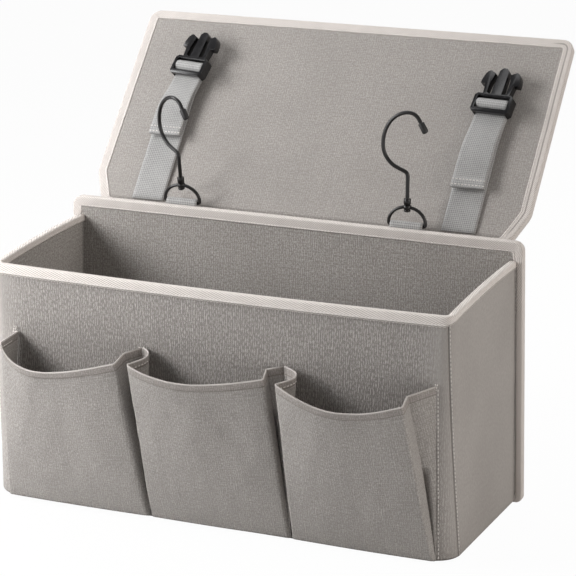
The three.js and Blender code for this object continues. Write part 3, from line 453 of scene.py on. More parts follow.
def twill(name, dark, light, ribs_shown=1.0, line=1.0):
    """Cotton tape with slanting ribs, a row of thread near its edge and a furrow beside it, with
    painted shade in the furrow.
    """
    recipe = Recipe(name, 0.88, Sheen_Weight=0.1, Sheen_Roughness=0.5, Specular_IOR_Level=0.2)
    u, v = recipe.cloth_place()
    bend = recipe.noise(u * 0.2, v * 0.08, 1.0) * 1.2
    ribs = ((v - u * 1.75 + bend) * (pi / RIB_PITCH)).sine().size()
    yarn = recipe.noise(u * 1.3, v * 1.3, 3.0)
    clouds = recipe.noise(u * 0.05, v * 0.1, 2.0)
    stitches = (v * (pi / SEWN_PITCH)).sine().size().between(0.2, 0.6)
    thread = u.near(1.7, 0.8, 0.1, 0.5) * stitches * line
    groove = u.near(4.4, 0.9, 0.1, 0.8) * recipe.mark("groove")
    furrow = u.near(0.7, 0.6, 0.1, 0.5) * line + groove
    tint = ribs.between(0.15, 0.85) * (0.7 * ribs_shown) + yarn * 0.45 + clouds * 0.2
    tint = tint + (0.3 - 0.4 * ribs_shown)
    cloth = recipe.blend(tint.between(0.0, 0.9), dark, light)
    lined = recipe.blend(thread * 0.8, cloth, "f1ebe7")
    # painted shade in the furrow and in the flap tape's groove
    recipe.colour(recipe.blend(furrow * 0.6, lined, "665e59"))
    recipe.relief(ribs * (0.9 * ribs_shown) + yarn * 0.5 + thread - furrow, 0.3, 0.9)
    return recipe.material


def webbing(name, dark, light):
    """Flat woven webbing: fine lengthwise ribs crossed by close picks."""
    recipe = Recipe(name, 0.62, Sheen_Weight=0.1, Sheen_Roughness=0.4, Specular_IOR_Level=0.45)
    u, v = recipe.cloth_place()
    cords = (u * (pi / CORD_PITCH)).sine().size()
    picks = v.rows(PICK_PITCH)
    yarn = recipe.noise(u * 1.6, v * 0.35, 2.0)
    clouds = recipe.noise(u * 0.05, v * 0.04, 2.0)
    tint = cords * 0.35 + picks * 0.3 + yarn * 0.35 + clouds * 0.2
    recipe.colour(recipe.blend(tint.between(0.2, 0.95), dark, light))
    recipe.relief(cords + picks * 0.4 + yarn * 0.3, 0.16, 0.7)
    return recipe.material


def moulded(name, code, roughness, grain=900.0):
    """Black plastic or paint with a fine skin."""
    recipe = Recipe(name, roughness, Specular_IOR_Level=0.5)
    skin = recipe.body_noise(grain)
    wear = recipe.body_noise(60.0)
    recipe.colour(recipe.blend(wear.between(0.35, 0.75) * 0.2, code, "38373a"))
    recipe.feed(recipe.shader.inputs["Roughness"], wear * 0.16 + (roughness - 0.08))
    recipe.relief(skin, 0.04, 0.3)
    return recipe.material


COVER_LINEN = linen("cover_linen", "86817d", "a8a39f", "cac5c1", 0.85, 0.45, True)
LINEN = linen("grey_linen", "8a8682", "a8a39f", "c2bdb9", 0.6, 0.35)
FLAP_LINEN = linen("flap_linen", "948f8b", "aba6a2", "bfbab6", 0.55, 0.25)
INNER_LINEN = linen("lining_linen", "8c8681", "aeaaa6", "cbc7c3", 0.65, 0.4)
TAPE_CREAM = twill("cream_tape", "a0978f", "f4ede8")
PLAIN_TAPE = twill("plain_tape", "a59d97", "e6dfda", 0.75)
WEBBING_GREY = webbing("grey_webbing", "767574", "b6b5b4")
PLASTIC = moulded("black_plastic", "141315", 0.24)
STEEL = moulded("black_wire", "151211", 0.32, 400.0)
RUBBER = moulded("dipped_cap", "1b1919", 0.5)
THREAD = twill("cream_thread", "e0d9d3", "f6f1ed", 0.0, 0.0)
GREY_THREAD = twill("grey_thread", "d0cac5", "f0ebe7", 0.0, 0.0)


# Meshes

def make_piece(name, points, faces, material, uvs, place):
    """A closed mesh with smooth faces. uvs gives one spot in metres for each corner."""
    mesh = bpy.data.meshes.new(name)
    mesh.from_pydata([(place @ p if place else p) * MM for p in points], [], faces)
    layer = mesh.uv_layers.new(name="cloth")
    for corner, spot in zip(layer.data, uvs):
        corner.uv = spot
    mesh.materials.append(material)
    mesh.shade_smooth()
    turn_outwards(mesh)
    return add_object(name, mesh)


def turn_outwards(mesh):
    work = bmesh.new()
    work.from_mesh(mesh)
    if work.calc_volume(signed=True) < 0:
        bmesh.ops.reverse_faces(work, faces=work.faces)
    work.to_mesh(mesh)
    work.free()


def lengths(points):
    """Distance along a line of points, in metres."""
    total = [0.0]
    for before, after in zip(points, points[1:]):
        total.append(total[-1] + (Vector(after) - Vector(before)).length * MM)
    return total


def loft(name, rings, material, is_loop=False, place=None):
    """A closed skin through rings of equally many points, with the cloth measured along both."""
    count = len(rings[0])
    rows = rings + [rings[0]] if is_loop else rings
    around = [lengths(ring + [ring[0]]) for ring in rows]
    along = lengths([sum((Vector(p) for p in ring), Vector()) / count for ring in rows])
    points = [Vector(p) for ring in rings for p in ring]
    faces = []
    uvs = []
    for i in range(len(rows) - 1):
        near = i * count
        far = (i + 1) % len(rings) * count
        for j in range(count):
            k = (j + 1) % count
            faces.append((near + j, near + k, far + k, far + j))
            uvs += [(around[i][j], along[i]), (around[i][j + 1], along[i]),
                    (around[i + 1][j + 1], along[i + 1]), (around[i + 1][j], along[i + 1])]
    if not is_loop:
        last = (len(rings) - 1) * count
        faces.append(tuple(reversed(range(count))))
        faces.append(tuple(range(last, last + count)))
        uvs += [(0.0, 0.0)] * (2 * count)
    return make_piece(name, points, faces, material, uvs, place)


def shell(name, rows, thickness, material, place=None):
    """A sheet of cloth: rows of points on its face, given a thickness behind the face."""
    rows = [[Vector(p) for p in row] for row in rows]
    high = len(rows)
    wide = len(rows[0])
    back = []
    for i in range(high):
        for j in range(wide):
            up = rows[min(i + 1, high - 1)][j] - rows[max(i - 1, 0)][j]
            across = rows[i][min(j + 1, wide - 1)] - rows[i][max(j - 1, 0)]
            back.append(rows[i][j] + up.cross(across).normalized() * thickness)
    points = [p for row in rows for p in row] + back
    across = [[d - run[-1] / 2 for d in run] for run in map(lengths, rows)]
    middle = lengths([row[wide // 2] for row in rows])
    faces = []
    uvs = []
    under = high * wide
    for i in range(high - 1):
        for j in range(wide - 1):
            quad = (i * wide + j, i * wide + j + 1, (i + 1) * wide + j + 1, (i + 1) * wide + j)
            places = [(across[i][j], middle[i]), (across[i][j + 1], middle[i]),
                      (across[i + 1][j + 1], middle[i + 1]), (across[i + 1][j], middle[i + 1])]
            faces += [quad, tuple(under + index for index in reversed(quad))]
            uvs += places + places[::-1]
    edge = ([(0, j) for j in range(wide)] + [(i, wide - 1) for i in range(1, high)]
            + [(high - 1, j) for j in range(wide - 2, -1, -1)]
            + [(i, 0) for i in range(high - 2, 0, -1)])
    for (i, j), (k, m) in zip(edge, edge[1:] + edge[:1]):
        a = i * wide + j
        b = k * wide + m
        faces.append((b, a, under + a, under + b))
        uvs += [(across[k][m], middle[k]), (across[i][j], middle[i])] * 2
    return make_piece(name, points, faces, material, uvs, place)


def tube(name, path, radii, material, sides, is_loop, place):
    """A round wire along a line of points, with one radius for each."""
    path = [Vector(p) for p in path]
    last = len(path) - 1
    side = Vector((0, 1, 0))
    rings = []
    for i, middle in enumerate(path):
        before = path[i - 1 if is_loop or i else 0]
        after = path[(i + 1) % len(path) if is_loop else min(i + 1, last)]
        along = (after - before).normalized()
        side = (side - along * side.dot(along)).normalized()
        other = along.cross(side)
        rings.append([middle + (side * cos(a) + other * sin(a)) * radii[i]
                      for a in (2 * pi * j / sides for j in range(sides))])
    return loft(name, rings, material, is_loop, place)


def arc(x, y, radius, start, end, steps, height=None):
    """Points on an arc, by its centre, radius and end angles in degrees."""
    angles = [radians(lerp(start, end, i / steps)) for i in range(steps + 1)]
    return [(x + radius * cos(a), y + (height or radius) * sin(a)) for a in angles]


def straight(start, end, steps):
    return [start.lerp(end, i / steps) for i in range(1, steps)]


def ripple(x, y, z, scale, depth):
    """Slow unevenness of cloth, in millimetres."""
    return noise.fractal(Vector((x, y, z)) / scale, 1.0, 2.0, 3) * depth


def flared(p):
    """The soft walls spread a little towards the base."""
    return Vector((p[0] * (1 + FLARE / HALF_WIDTH * (1 - p[2] / FRONT_HEIGHT)), p[1], p[2]))


def mark(piece, label, value_at):
    """A value on every point of a mesh, for its finish to read."""
    marks = piece.data.attributes.new(label, "FLOAT", "POINT")
    for i, (point, value) in enumerate(zip(piece.data.vertices, marks.data)):
        value.value = value_at(i, point.co / MM)
    return piece


def dress(piece, body, slot, *nodes):
    """The piece rides on its body and stands for CAD nodes, which are hidden; slot is not used."""
    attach(piece, body)
    if nodes:
        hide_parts(*nodes)
    return piece


# Stitches

STITCH_NODES = {
    "given": "NodeGroupInput", "result": "NodeGroupOutput", "curve": "GeometryNodeMeshToCurve",
    "spaced": "GeometryNodeResampleCurve", "tangent": "GeometryNodeInputTangent",
    "turn": "FunctionNodeAlignRotationToVector", "size": "ShaderNodeCombineXYZ",
    "uneven": "FunctionNodeRandomValue", "length": "ShaderNodeMath",
    "bead": "GeometryNodeMeshUVSphere", "stitches": "GeometryNodeInstanceOnPoints",
    "whole": "GeometryNodeRealizeInstances", "rounded": "GeometryNodeSetShadeSmooth",
    "finish": "GeometryNodeSetMaterial",
}
STITCH_LINKS = (
    ("given", "Lines", "curve", "Mesh"), ("curve", "Curve", "spaced", "Curve"),
    ("given", "Pitch", "spaced", "Length"), ("spaced", "Curve", "stitches", "Points"),
    ("tangent", "Tangent", "turn", "Vector"), ("turn", "Rotation", "stitches", "Rotation"),
    ("given", "Stitch length", "length", 0), ("uneven", 1, "length", 1),
    ("given", "Thread width", "size", "X"), ("given", "Thread width", "size", "Y"),
    ("length", 0, "size", "Z"), ("bead", "Mesh", "stitches", "Instance"),
    ("size", "Vector", "stitches", "Scale"), ("stitches", "Instances", "whole", "Geometry"),
    ("whole", "Geometry", "rounded", "Geometry"), ("rounded", "Geometry", "finish", "Geometry"),
    ("given", "Thread", "finish", "Material"), ("finish", "Geometry", "result", "Stitches"),
)
# The least and the most of a stitch's length, as shares, and the seed of the draws
UNEVEN = {("Min", "VALUE"): 0.88, ("Max", "VALUE"): 1.08, ("Seed", "INT"): 7}


def stitch_tree():
    """Evenly spaced stitches along every line of a mesh."""
    tree = bpy.data.node_groups.new("stitch_rows", "GeometryNodeTree")
    for label, way, kind in (
            ("Lines", "INPUT", "Geometry"), ("Pitch", "INPUT", "Float"),
            ("Stitch length", "INPUT", "Float"), ("Thread width", "INPUT", "Float"),
            ("Thread", "INPUT", "Material"), ("Stitches", "OUTPUT", "Geometry")):
        tree.interface.new_socket(label, in_out=way, socket_type=f"NodeSocket{kind}")
    nodes = {name: tree.nodes.new(kind) for name, kind in STITCH_NODES.items()}
    nodes["spaced"].mode = "LENGTH"
    nodes["turn"].axis = "Z"
    nodes["uneven"].data_type = "FLOAT"
    nodes["length"].operation = "MULTIPLY"
    for label, value in (("Segments", 6), ("Rings", 5), ("Radius", 0.5)):
        nodes["bead"].inputs[label].default_value = value
    for socket in nodes["uneven"].inputs:
        if (socket.name, socket.type) in UNEVEN:
            socket.default_value = UNEVEN[socket.name, socket.type]
    for start, given, end, taken in STITCH_LINKS:
        tree.links.new(nodes[start].outputs[given], nodes[end].inputs[taken])
    return tree


STITCH_TREE = stitch_tree()


def stitch(name, lines, body, slot, thread, sizes, place=None):
    """Rows of stitches along lines of points, as one piece on one body."""
    points = []
    edges = []
    for line in lines:
        first = len(points)
        points += [(place @ Vector(p) if place else Vector(p)) * MM for p in line]
        edges += [(first + i, first + i + 1) for i in range(len(line) - 1)]
    mesh = bpy.data.meshes.new(name)
    mesh.from_pydata(points, edges, [])
    piece = add_object(name, mesh)
    modifier = piece.modifiers.new("stitches", "NODES")
    modifier.node_group = STITCH_TREE
    pitch, length, width = (size * MM for size in sizes)
    values = {"Pitch": pitch, "Stitch length": length, "Thread width": width, "Thread": thread}
    for item in STITCH_TREE.interface.items_tree:
        if item.in_out == "INPUT" and item.name in values:
            modifier[item.identifier] = values[item.name]
    bpy.context.view_layer.update()
    seen = piece.evaluated_get(bpy.context.evaluated_depsgraph_get())
    sewn = bpy.data.meshes.new_from_object(seen)
    piece.modifiers.clear()
    piece.data = sewn
    if "cloth" not in sewn.uv_layers:
        sewn.uv_layers.new(name="cloth")
    return dress(piece, body, slot)


# Walls of the box

def corner_radius(z):
    """The upright corners are tighter at the rim than at the base."""
    return lerp(CORNER_RADIUS, RIM_CORNER, z / FRONT_HEIGHT)


def wall_top(x, y):
    """The rim sags along the front and rises along the sides."""
    reach = HALF_WIDTH - RIM_CORNER
    if abs(x) < reach:
        return WALL_HEIGHT - FRONT_SAG * (1 - (x / reach) ** 2)
    back = (y + HALF_DEPTH) / (WALL_REAR + HALF_DEPTH)
    return WALL_HEIGHT + SIDE_RISE * (1 - (1 - back) ** 2)


def station(place, out_x, out_y):
    """A place on the plan for any corner radius, the outward direction, and the height there."""
    return place, out_x, out_y, wall_top(*place(RIM_CORNER))


def wall_path():
    """Stations round the outside of the walls, from the left rear to the right rear."""
    stations = []
    for i in range(SIDE_STEPS + 1):
        stations.append(station(
            lambda r, share=i / SIDE_STEPS: (-HALF_WIDTH, lerp(WALL_REAR, r - HALF_DEPTH, share)),
            -1.0, 0.0))
    for i in range(1, CORNER_STEPS):
        angle = pi + pi / 2 * i / CORNER_STEPS
        out_x, out_y = cos(angle), sin(angle)
        stations.append(station(
            lambda r, ox=out_x, oy=out_y: (r - HALF_WIDTH + ox * r, r - HALF_DEPTH + oy * r),
            out_x, out_y))
    mirrored = [(lambda r, place=place: (-place(r)[0], place(r)[1]), -ox, oy, top)
                for place, ox, oy, top in reversed(stations)]
    for i in range(FRONT_STEPS + 1):
        def place(r, share=i / FRONT_STEPS):
            return lerp(r - HALF_WIDTH, HALF_WIDTH - r, share), -HALF_DEPTH
        stations.append(station(place, 0.0, -1.0))
    return stations + mirrored


WALL_PATH = wall_path()


def wall_point(place, out_x, out_y, offset, z):
    x, y = place(corner_radius(z))
    return flared((x + out_x * offset, y + out_y * offset, z))


def walls(name, section, material, is_upright=False):
    """A layer swept round the walls. section gives [offset outwards, height] pairs."""
    rings = []
    for place, out_x, out_y, top in WALL_PATH:
        x, y = place(RIM_CORNER)
        rings.append([wall_point(place, out_x, out_y, offset, z)
                      for offset, z in section(x, y, out_x, top)])
    piece = loft(name, rings, material)
    if is_upright:
        for corner in piece.data.uv_layers["cloth"].data:
            corner.uv = (corner.uv.y, corner.uv.x)
    return piece


def cover_section(x, y, out_x, top):
    """The cover's face, eased at the foot and a little full between the edges."""
    side = abs(out_x)
    face = []
    for i in range(COVER_STEPS + 1):
        z = lerp(FOOT_ROUND, top, i / COVER_STEPS)
        full = max(sin(pi * z / top), 0.0) ** 0.8
        ends = smooth((WALL_REAR - y) / 25) * smooth((y + HALF_DEPTH) / 30)
        swell = 1.3 * full * side * ends
        above = smooth((z - 128) / 18)
        swell += ripple(x, y, z, 46, 0.30) * (side * ends + (1 - side) * above) * full
        face.append((swell, z))
    foot = [(-TURNED_IN, 0), (-FOOT_FLAT, 0)]
    foot += arc(-FOOT_ROUND, FOOT_ROUND, FOOT_ROUND, -80, -12, 4)
    inside = [(-CLOTH, top), (-CLOTH, 3.4), (-FOOT_FLAT, CLOTH), (-TURNED_IN, CLOTH)]
    return foot + face + inside


def lining_section(x, y, out_x, top):
    face = []
    for i in range(LINING_STEPS + 1):
        z = lerp(LINING_FLOOR + 0.2, top, i / LINING_STEPS)
        full = max(sin(pi * z / top), 0.0) ** 0.7
        ends = smooth((WALL_REAR - y) / 20)
        face.append((-WALL - (0.5 + ripple(x + 300, y, z, 40, 0.5)) * full * ends, z))
    return face + [(-WALL + 0.8, top), (-WALL + 0.8, LINING_FLOOR - 0.7)]


def floor_plate(name, inset, low, high, material, depth=0.0):
    """A sheet over the plan of the box."""
    rim = []
    for place, out_x, out_y, _ in WALL_PATH:
        x, y = place(corner_radius(high))
        rim.append((x - out_x * inset, y - out_y * inset))
    half = len(rim) // 2
    left = rim[:half]
    right = rim[::-1][:half]
    rows = []
    for (x0, y0), (x1, y1) in zip(left, right):
        row = []
        for i in range(FLOOR_STEPS + 1):
            x = lerp(x0, x1, i / FLOOR_STEPS)
            y = lerp(y0, y1, i / FLOOR_STEPS)
            row.append(flared((x, y, high + ripple(x, y, 0, 60, depth))))
        rows.append(row)
    return shell(name, rows, high - low, material)


def seam_spot(z, aside=0.0, lift=0.0):
    """A place on the right corner's seam, and the way round the corner there."""
    radius = corner_radius(z)
    turn = radians(lerp(*SEAM_TURNS, z / WALL_HEIGHT)) + aside / radius
    out = Vector((cos(turn), sin(turn), 0))
    centre = Vector((HALF_WIDTH - radius, radius - HALF_DEPTH, z))
    return flared(centre + out * (radius + lift)), Vector((-out.y, out.x, 0))


def seam_distance(p):
    spot, around = seam_spot(min(max(p.z, 0.0), WALL_HEIGHT))
    return (Vector((abs(p.x), p.y, 0)) - Vector((spot.x, spot.y, 0))).dot(around)


cover = walls("box_cover", cover_section, COVER_LINEN, True)
mark(cover, "calm", lambda i, p: smooth((seam_distance(p) + 20) / 18))
mark(cover, "seam", lambda i, p: seam_distance(p))
# The foot mark places a painted shade along the cover's foot
mark(cover, "foot", lambda i, p: smooth((FOOT_ROUND - p.z) / 1.6))
dress(cover, "box", "linen", "outer_cover")
dress(floor_plate("box_underside", UNDERSIDE_INSET, UNDERSIDE, UNDERSIDE + CLOTH, LINEN),
      "box", "linen")
dress(walls("box_lining", lining_section, INNER_LINEN, True), "box", "linen", "lining")
dress(floor_plate("lining_floor", WALL - 0.4, LINING_FLOOR - 0.8, LINING_FLOOR, INNER_LINEN, 0.3),
      "box", "linen")


def rim_tape_section(x, y, out_x, top):
    """Tape folded over the rim: two legs and a soft fold."""
    wave = 0.35 * noise.noise(Vector((x, y, 5)) / 13)
    low = top + PROUD - lerp(FRONT_TAPE_WIDTH, SIDE_TAPE_WIDTH, out_x * out_x) + wave * 0.5
    high = top + PROUD
    outer = PROUD + 0.12 * noise.noise(Vector((x, y, 9)) / 9)
    inner = -WALL - PROUD
    over = arc(outer - FOLD_ROUND, high - FOLD_ROUND, FOLD_ROUND, 0, 90, 5)
    down = arc(inner + FOLD_ROUND, high - FOLD_ROUND, FOLD_ROUND, 90, 180, 5)
    legs = [(outer - 0.15, low), (outer + 0.15, low + 0.6), (outer - 0.1, low + 1.5),
            (outer, low + 3)]
    inside = [(inner, low + 3), (inner, low + 1.6), (inner - 0.1, low + 0.5), (inner + 0.15, low)]
    under = [(inner + TAPE, low), (inner + TAPE, high - TAPE), (outer - TAPE, high - TAPE),
             (outer - TAPE, low)]
    return legs + over + [(lerp(outer, inner, 0.5), high + 0.05)] + down + inside + under


dress(walls("rim_tape", rim_tape_section, TAPE_CREAM), "box", "tape", "rim_binding")


# Panels

class Panel:
    """A flat bound panel: cloth, board and cloth, with its face at front. right_corners are
    [x, z, radius] from the foot up the right side, and the left side mirrors them."""

    def __init__(self, right_corners, front, is_flared=False, place=None):
        left = [(-x, z, radius) for x, z, radius in reversed(right_corners)]
        self.corners = right_corners + left
        self.low = right_corners[0][1]
        self.high = right_corners[-1][1]
        self.front = front
        self.is_flared = is_flared
        self.place = place

    def outline(self, grow, foot_grow=None):
        """Points round the panel, equally many however far it is grown, at the foot too."""
        grows = [grow] * (len(self.corners) - 1) + [grow if foot_grow is None else foot_grow]
        spots = [Vector((x, z)) for x, z, _ in self.corners]
        count = len(spots)
        edges = [(spots[(i + 1) % count] - spots[i]).normalized() for i in range(count)]
        outward = [Vector((edge.y, -edge.x)) for edge in edges]
        bends = []
        for i, (_, _, radius) in enumerate(self.corners):
            facing = outward[i - 1].dot(outward[i])
            before = (grows[i - 1] - facing * grows[i]) / (1 - facing ** 2)
            after = (grows[i] - facing * grows[i - 1]) / (1 - facing ** 2)
            grown = spots[i] + outward[i - 1] * before + outward[i] * after
            turn = acos(min(facing, 1.0))
            radius = max(radius + grow, 0.5)
            start = grown - edges[i - 1] * (radius * tan(turn / 2))
            centre = start - outward[i - 1] * radius
            first = degrees(atan2(outward[i - 1].y, outward[i - 1].x))
            bends.append(arc(centre.x, centre.y, radius, first, first + degrees(turn), 10))
        points = []
        for i, bend in enumerate(bends):
            goal = bends[(i + 1) % count][0]
            steps = max(int((spots[(i + 1) % count] - spots[i]).length / OUTLINE_PITCH), 3)
            points += bend
            points += [tuple(p) for p in straight(Vector(bend[-1]), Vector(goal), steps)]
        return points

    def width_at(self, z, outline):
        """Half the width of an outline at a height."""
        wide = 0.0
        for (x0, z0), (x1, z1) in zip(outline, outline[1:] + outline[:1]):
            if min(z0, z1) <= z <= max(z0, z1) and z0 != z1:
                wide = max(wide, abs(lerp(x0, x1, (z - z0) / (z1 - z0))))
        return wide

    def at(self, x, y, z):
        return flared((x, y, z)) if self.is_flared else Vector((x, y, z))

    def sheet(self, name, y, facing, swell, material, seed):
        """One cloth face, a little full and uneven between its bound edges."""
        outline = self.outline(-SHEET_INSET)
        low = self.low + SHEET_INSET
        high = self.high - SHEET_INSET
        rows = []
        for i in range(SHEET_UP + 1):
            row = []
            z = lerp(low + 0.02, high - 0.02, i / SHEET_UP)
            right = self.width_at(z, outline)
            for j in range(SHEET_ACROSS + 1):
                x = lerp(-right, right, j / SHEET_ACROSS)
                edge = min(right - abs(x), z - low, high - z)
                full = smooth((edge - 3) / 26)
                out = swell + ripple(x, z, seed, 70, 0.35) + ripple(x, z, seed + 50, 24, 0.10)
                row.append(self.at(x, y + facing * out * full, z))
            rows.append(row if facing < 0 else row[::-1])
        return shell(name, rows, -CLOTH, material, self.place)

    def tape(self, name, material, front_leg=None, foot_width=TAPE_WIDTH):
        """Tape folded over the whole edge, flat on both faces with a rounded bead between."""
        front = self.front - PROUD
        rear = self.front + PANEL + PROUD
        legs = [
            (TAPE_EDGE, front + TAPE), (TAPE_EDGE, front + 0.25), (TAPE_EDGE + 0.5, front),
            (TAPE_EDGE + 1.5, front + 0.15), (PROUD - 5, front), (PROUD - 3.3, front - 0.05),
            (PROUD - 1.5, front + 0.02),
        ]
        bead = arc(PROUD - FOLD_ROUND, front + FOLD_ROUND, FOLD_ROUND, -80, -10, 4)
        far = arc(PROUD - FOLD_ROUND, rear - FOLD_ROUND, FOLD_ROUND, 10, 80, 4)
        mirrored = [(grow, front + rear - y) for grow, y in reversed(legs)]
        under = [(GAP, rear - TAPE), (GAP, front + TAPE)]
        section = legs + bead + far + mirrored + under
        tracks = [self.outline(grow, self.foot_grow(grow, foot_width)) for grow, _ in section]
        rings = []
        for i in range(len(tracks[0])):
            ring = []
            wave = 0.3 * noise.noise(Vector((tracks[0][i][0], tracks[0][i][1], 3)) / 12)
            for (grow, y), track in zip(section, tracks):
                x, z = track[i]
                if grow < TAPE_EDGE + 0.6:
                    x, z = self.outline_shift(tracks[-1][i], (x, z), wave)
                if front_leg and y < self.front + 0.5 and grow < GAP:
                    x, z = front_leg(x, z, tracks[-1][i])
                ring.append(self.at(x, y, z))
            rings.append(ring)
        return loft(name, rings, material, True, self.place)

    @staticmethod
    def foot_grow(grow, foot_width):
        """The tape's legs may be narrower along the foot."""
        return lerp(PROUD, grow, foot_width / TAPE_WIDTH) if grow < PROUD - 1.4 else grow

    @staticmethod
    def outline_shift(edge, point, wave):
        away = Vector(point) - Vector(edge)
        moved = Vector(point) + away.normalized() * wave
        return moved.x, moved.y

    def row(self, grow, y, keep=None, foot_width=TAPE_WIDTH):
        """A closed line of stitches at one distance from the edge."""
        outline = self.outline(grow, self.foot_grow(grow, foot_width))
        points = [self.at(x, y, z) for x, z in outline]
        points.append(points[0])
        if keep:
            points = [p for p in points if keep(p)]
        return points


BACK = Panel([(BACK_HALF, GAP + PROUD, 4), (BACK_HALF, BACK_TOP - PROUD, 6)], HALF_DEPTH,
             is_flared=True)
FLAP_PLACE = (Matrix.Translation((0, HINGE_Y, HINGE_Z)) @ Matrix.Rotation(-FLAP_TILT, 4, "X"))
FLAP_FRONT = -(GAP + PROUD + PANEL)
FLAP_FOOT = GAP + PROUD
FLAP = Panel([(FLAP_HALF - FLAP_TAPER, FLAP_FOOT, 10), (FLAP_HALF, FLAP_FOOT + FLAP_CHEEK, 16),
              (FLAP_HALF, GAP + FLAP_LENGTH - PROUD, 8)], FLAP_FRONT, place=FLAP_PLACE)
RIM_SIDE = HALF_WIDTH + PROUD + GAP
RIM_TOP = FRONT_HEIGHT + SIDE_RISE + GAP


def beside_walls(x, z, edge):
    """Where the walls are sewn on, the tape's front leg stops beside them."""
    if z < RIM_TOP and abs(edge[0]) > RIM_SIDE:
        return copysign(max(abs(x), RIM_SIDE), x), z
    if z < RIM_TOP:
        return x, min(z, edge[1])
    return x, z


dress(BACK.sheet("back_face", HALF_DEPTH + HAIR, -1, 0.25, INNER_LINEN, 3),
      "box", "linen", "back_front_cover")
dress(BACK.sheet("back_rear", BACK_REAR - HAIR, 1, 0.3, LINEN, 8),
      "box", "linen", "back_rear_cover")
dress(BACK.tape("back_tape", PLAIN_TAPE, beside_walls), "box", "tape", "back_binding")
dress(FLAP.sheet("flap_face", FLAP_FRONT + HAIR, -1, 0.1, FLAP_LINEN, 12),
      "flap", "linen", "flap_front_cover")
dress(FLAP.sheet("flap_rear", FLAP_FRONT + PANEL - HAIR, 1, 0.45, FLAP_LINEN, 17),
      "flap", "linen", "flap_rear_cover")
flap_tape = FLAP.tape("flap_tape", PLAIN_TAPE, foot_width=FOOT_TAPE)
# The groove mark places a painted shade and a sunk line along the flap tape's groove
mark(flap_tape, "groove", lambda i, p: smooth((p.x - FLAP_HALF + 14) / 4))
dress(flap_tape, "flap", "tape", "flap_binding")


# Pockets

def pocket_swell(rise):
    shallow = FOOT_DEPTH / FOLD_DEPTH
    return shallow + (1 - shallow) * rise ** 0.85


def mouth_drop(index, across):
    """How far the mouth's edge hangs at a share of the way across."""
    skew = log(0.5) / log(MOUTH_LOWS[index])
    sag = MOUTH_SAGS[index] * max(sin(pi * across ** skew), 0.0)
    return lerp(LEFT_DROPS[index], RIGHT_DROPS[index], across) + sag


def dent(index, across, rise):
    """How far the face lies back at a place on it."""
    total = 0.0
    for x, z, wide, high, depth in DENTS[index]:
        away = ((across - x) / wide) ** 2 + ((rise - z) / high) ** 2
        total += depth * exp(-away)
    return total


def rounded(before, corner, after, reach):
    """A corner of a line, turned over a short reach."""
    start = corner + (before - corner).normalized() * reach
    end = corner + (after - corner).normalized() * reach
    return [start.lerp(corner, t).lerp(corner.lerp(end, t), t) for t in (0, 0.25, 0.5, 0.75, 1)]


def pocket_row(index, rise):
    """The face of a pocket's cloth at one height: flange, gusset, belly, gusset, flange."""
    left = lerp(SEAM_FEET[index], SEAM_TOPS[index], rise) + SEAM_GAP
    right = lerp(SEAM_FEET[index + 1], SEAM_TOPS[index + 1], rise) - SEAM_GAP
    left_fold = left + lerp(INSET_FOOT, LEFT_INSETS[index], rise)
    right_fold = right - lerp(INSET_FOOT, RIGHT_INSETS[index], rise)
    swell = pocket_swell(rise)
    left_depth = FOLD_DEPTH * swell
    right_depth = left_depth * RIGHT_DEPTHS[index]

    def place(x, forward, drop):
        z = POCKET_FOOT + (POCKET_HEIGHT - drop - POCKET_FOOT) * rise
        return Vector((x, -HALF_DEPTH - GAP - forward, z))

    def belly(across):
        across = min(max(across, 0.0), 1.0)
        full = max(sin(pi * across), 0.0)
        forward = (lerp(left_depth, right_depth, across) + BELLY * swell * full ** 0.9
                   - dent(index, across, rise) * swell * full ** 0.5)
        return place(lerp(left_fold, right_fold, across), forward, mouth_drop(index, across))

    seam = place(left, CLOTH, 0)
    root = place(left + lerp(FLANGE_FOOT, FLANGE_MOUTH, rise) - CLOTH, CLOTH, 0)
    knee_aside, knee_forward = RIGHT_KNEES[index]
    far_root = place(right - lerp(FLANGE_FOOT, knee_aside, rise) + CLOTH,
                     lerp(CLOTH, knee_forward, rise ** 2.5), RIGHT_DROPS[index] - MOUTH_STEP)
    far_seam = place(right, CLOTH, 0)
    face = [belly(i / FACE_STEPS) for i in range(FACE_STEPS + 1)]
    reach = lerp(0.5, 1.1, rise)
    near = rounded(root, face[0], face[1], reach)
    far = rounded(face[-2], face[-1], far_root, reach)
    near_root = rounded(seam, root, face[0], reach * 0.6)
    end_root = rounded(face[-1], far_root, far_seam, reach * 0.6)
    gusset = straight(near_root[-1], near[0], GUSSET_STEPS)
    for i, p in enumerate(gusset):
        p.x += LEFT_BOWS[index] * rise ** 2 * sin(pi * ((i + 1) / GUSSET_STEPS) ** 0.8)
    line = ([seam] + near_root + gusset + near + face[1:-1]
            + far + straight(far[-1], end_root[0], GUSSET_STEPS) + end_root + [far_seam])
    below = smooth((0.97 - rise) / 0.3) * smooth(rise * 6) * 0.5
    first, last = len(line) - ROUND_FROM, len(line) - ROUND_TO
    for _ in range(RIGHT_ROUNDS[index]):
        middles = [(line[j - 1] + line[j + 1]) / 2 for j in range(first, last)]
        line[first:last] = [p.lerp(q, below) for p, q in zip(line[first:last], middles)]
    return line


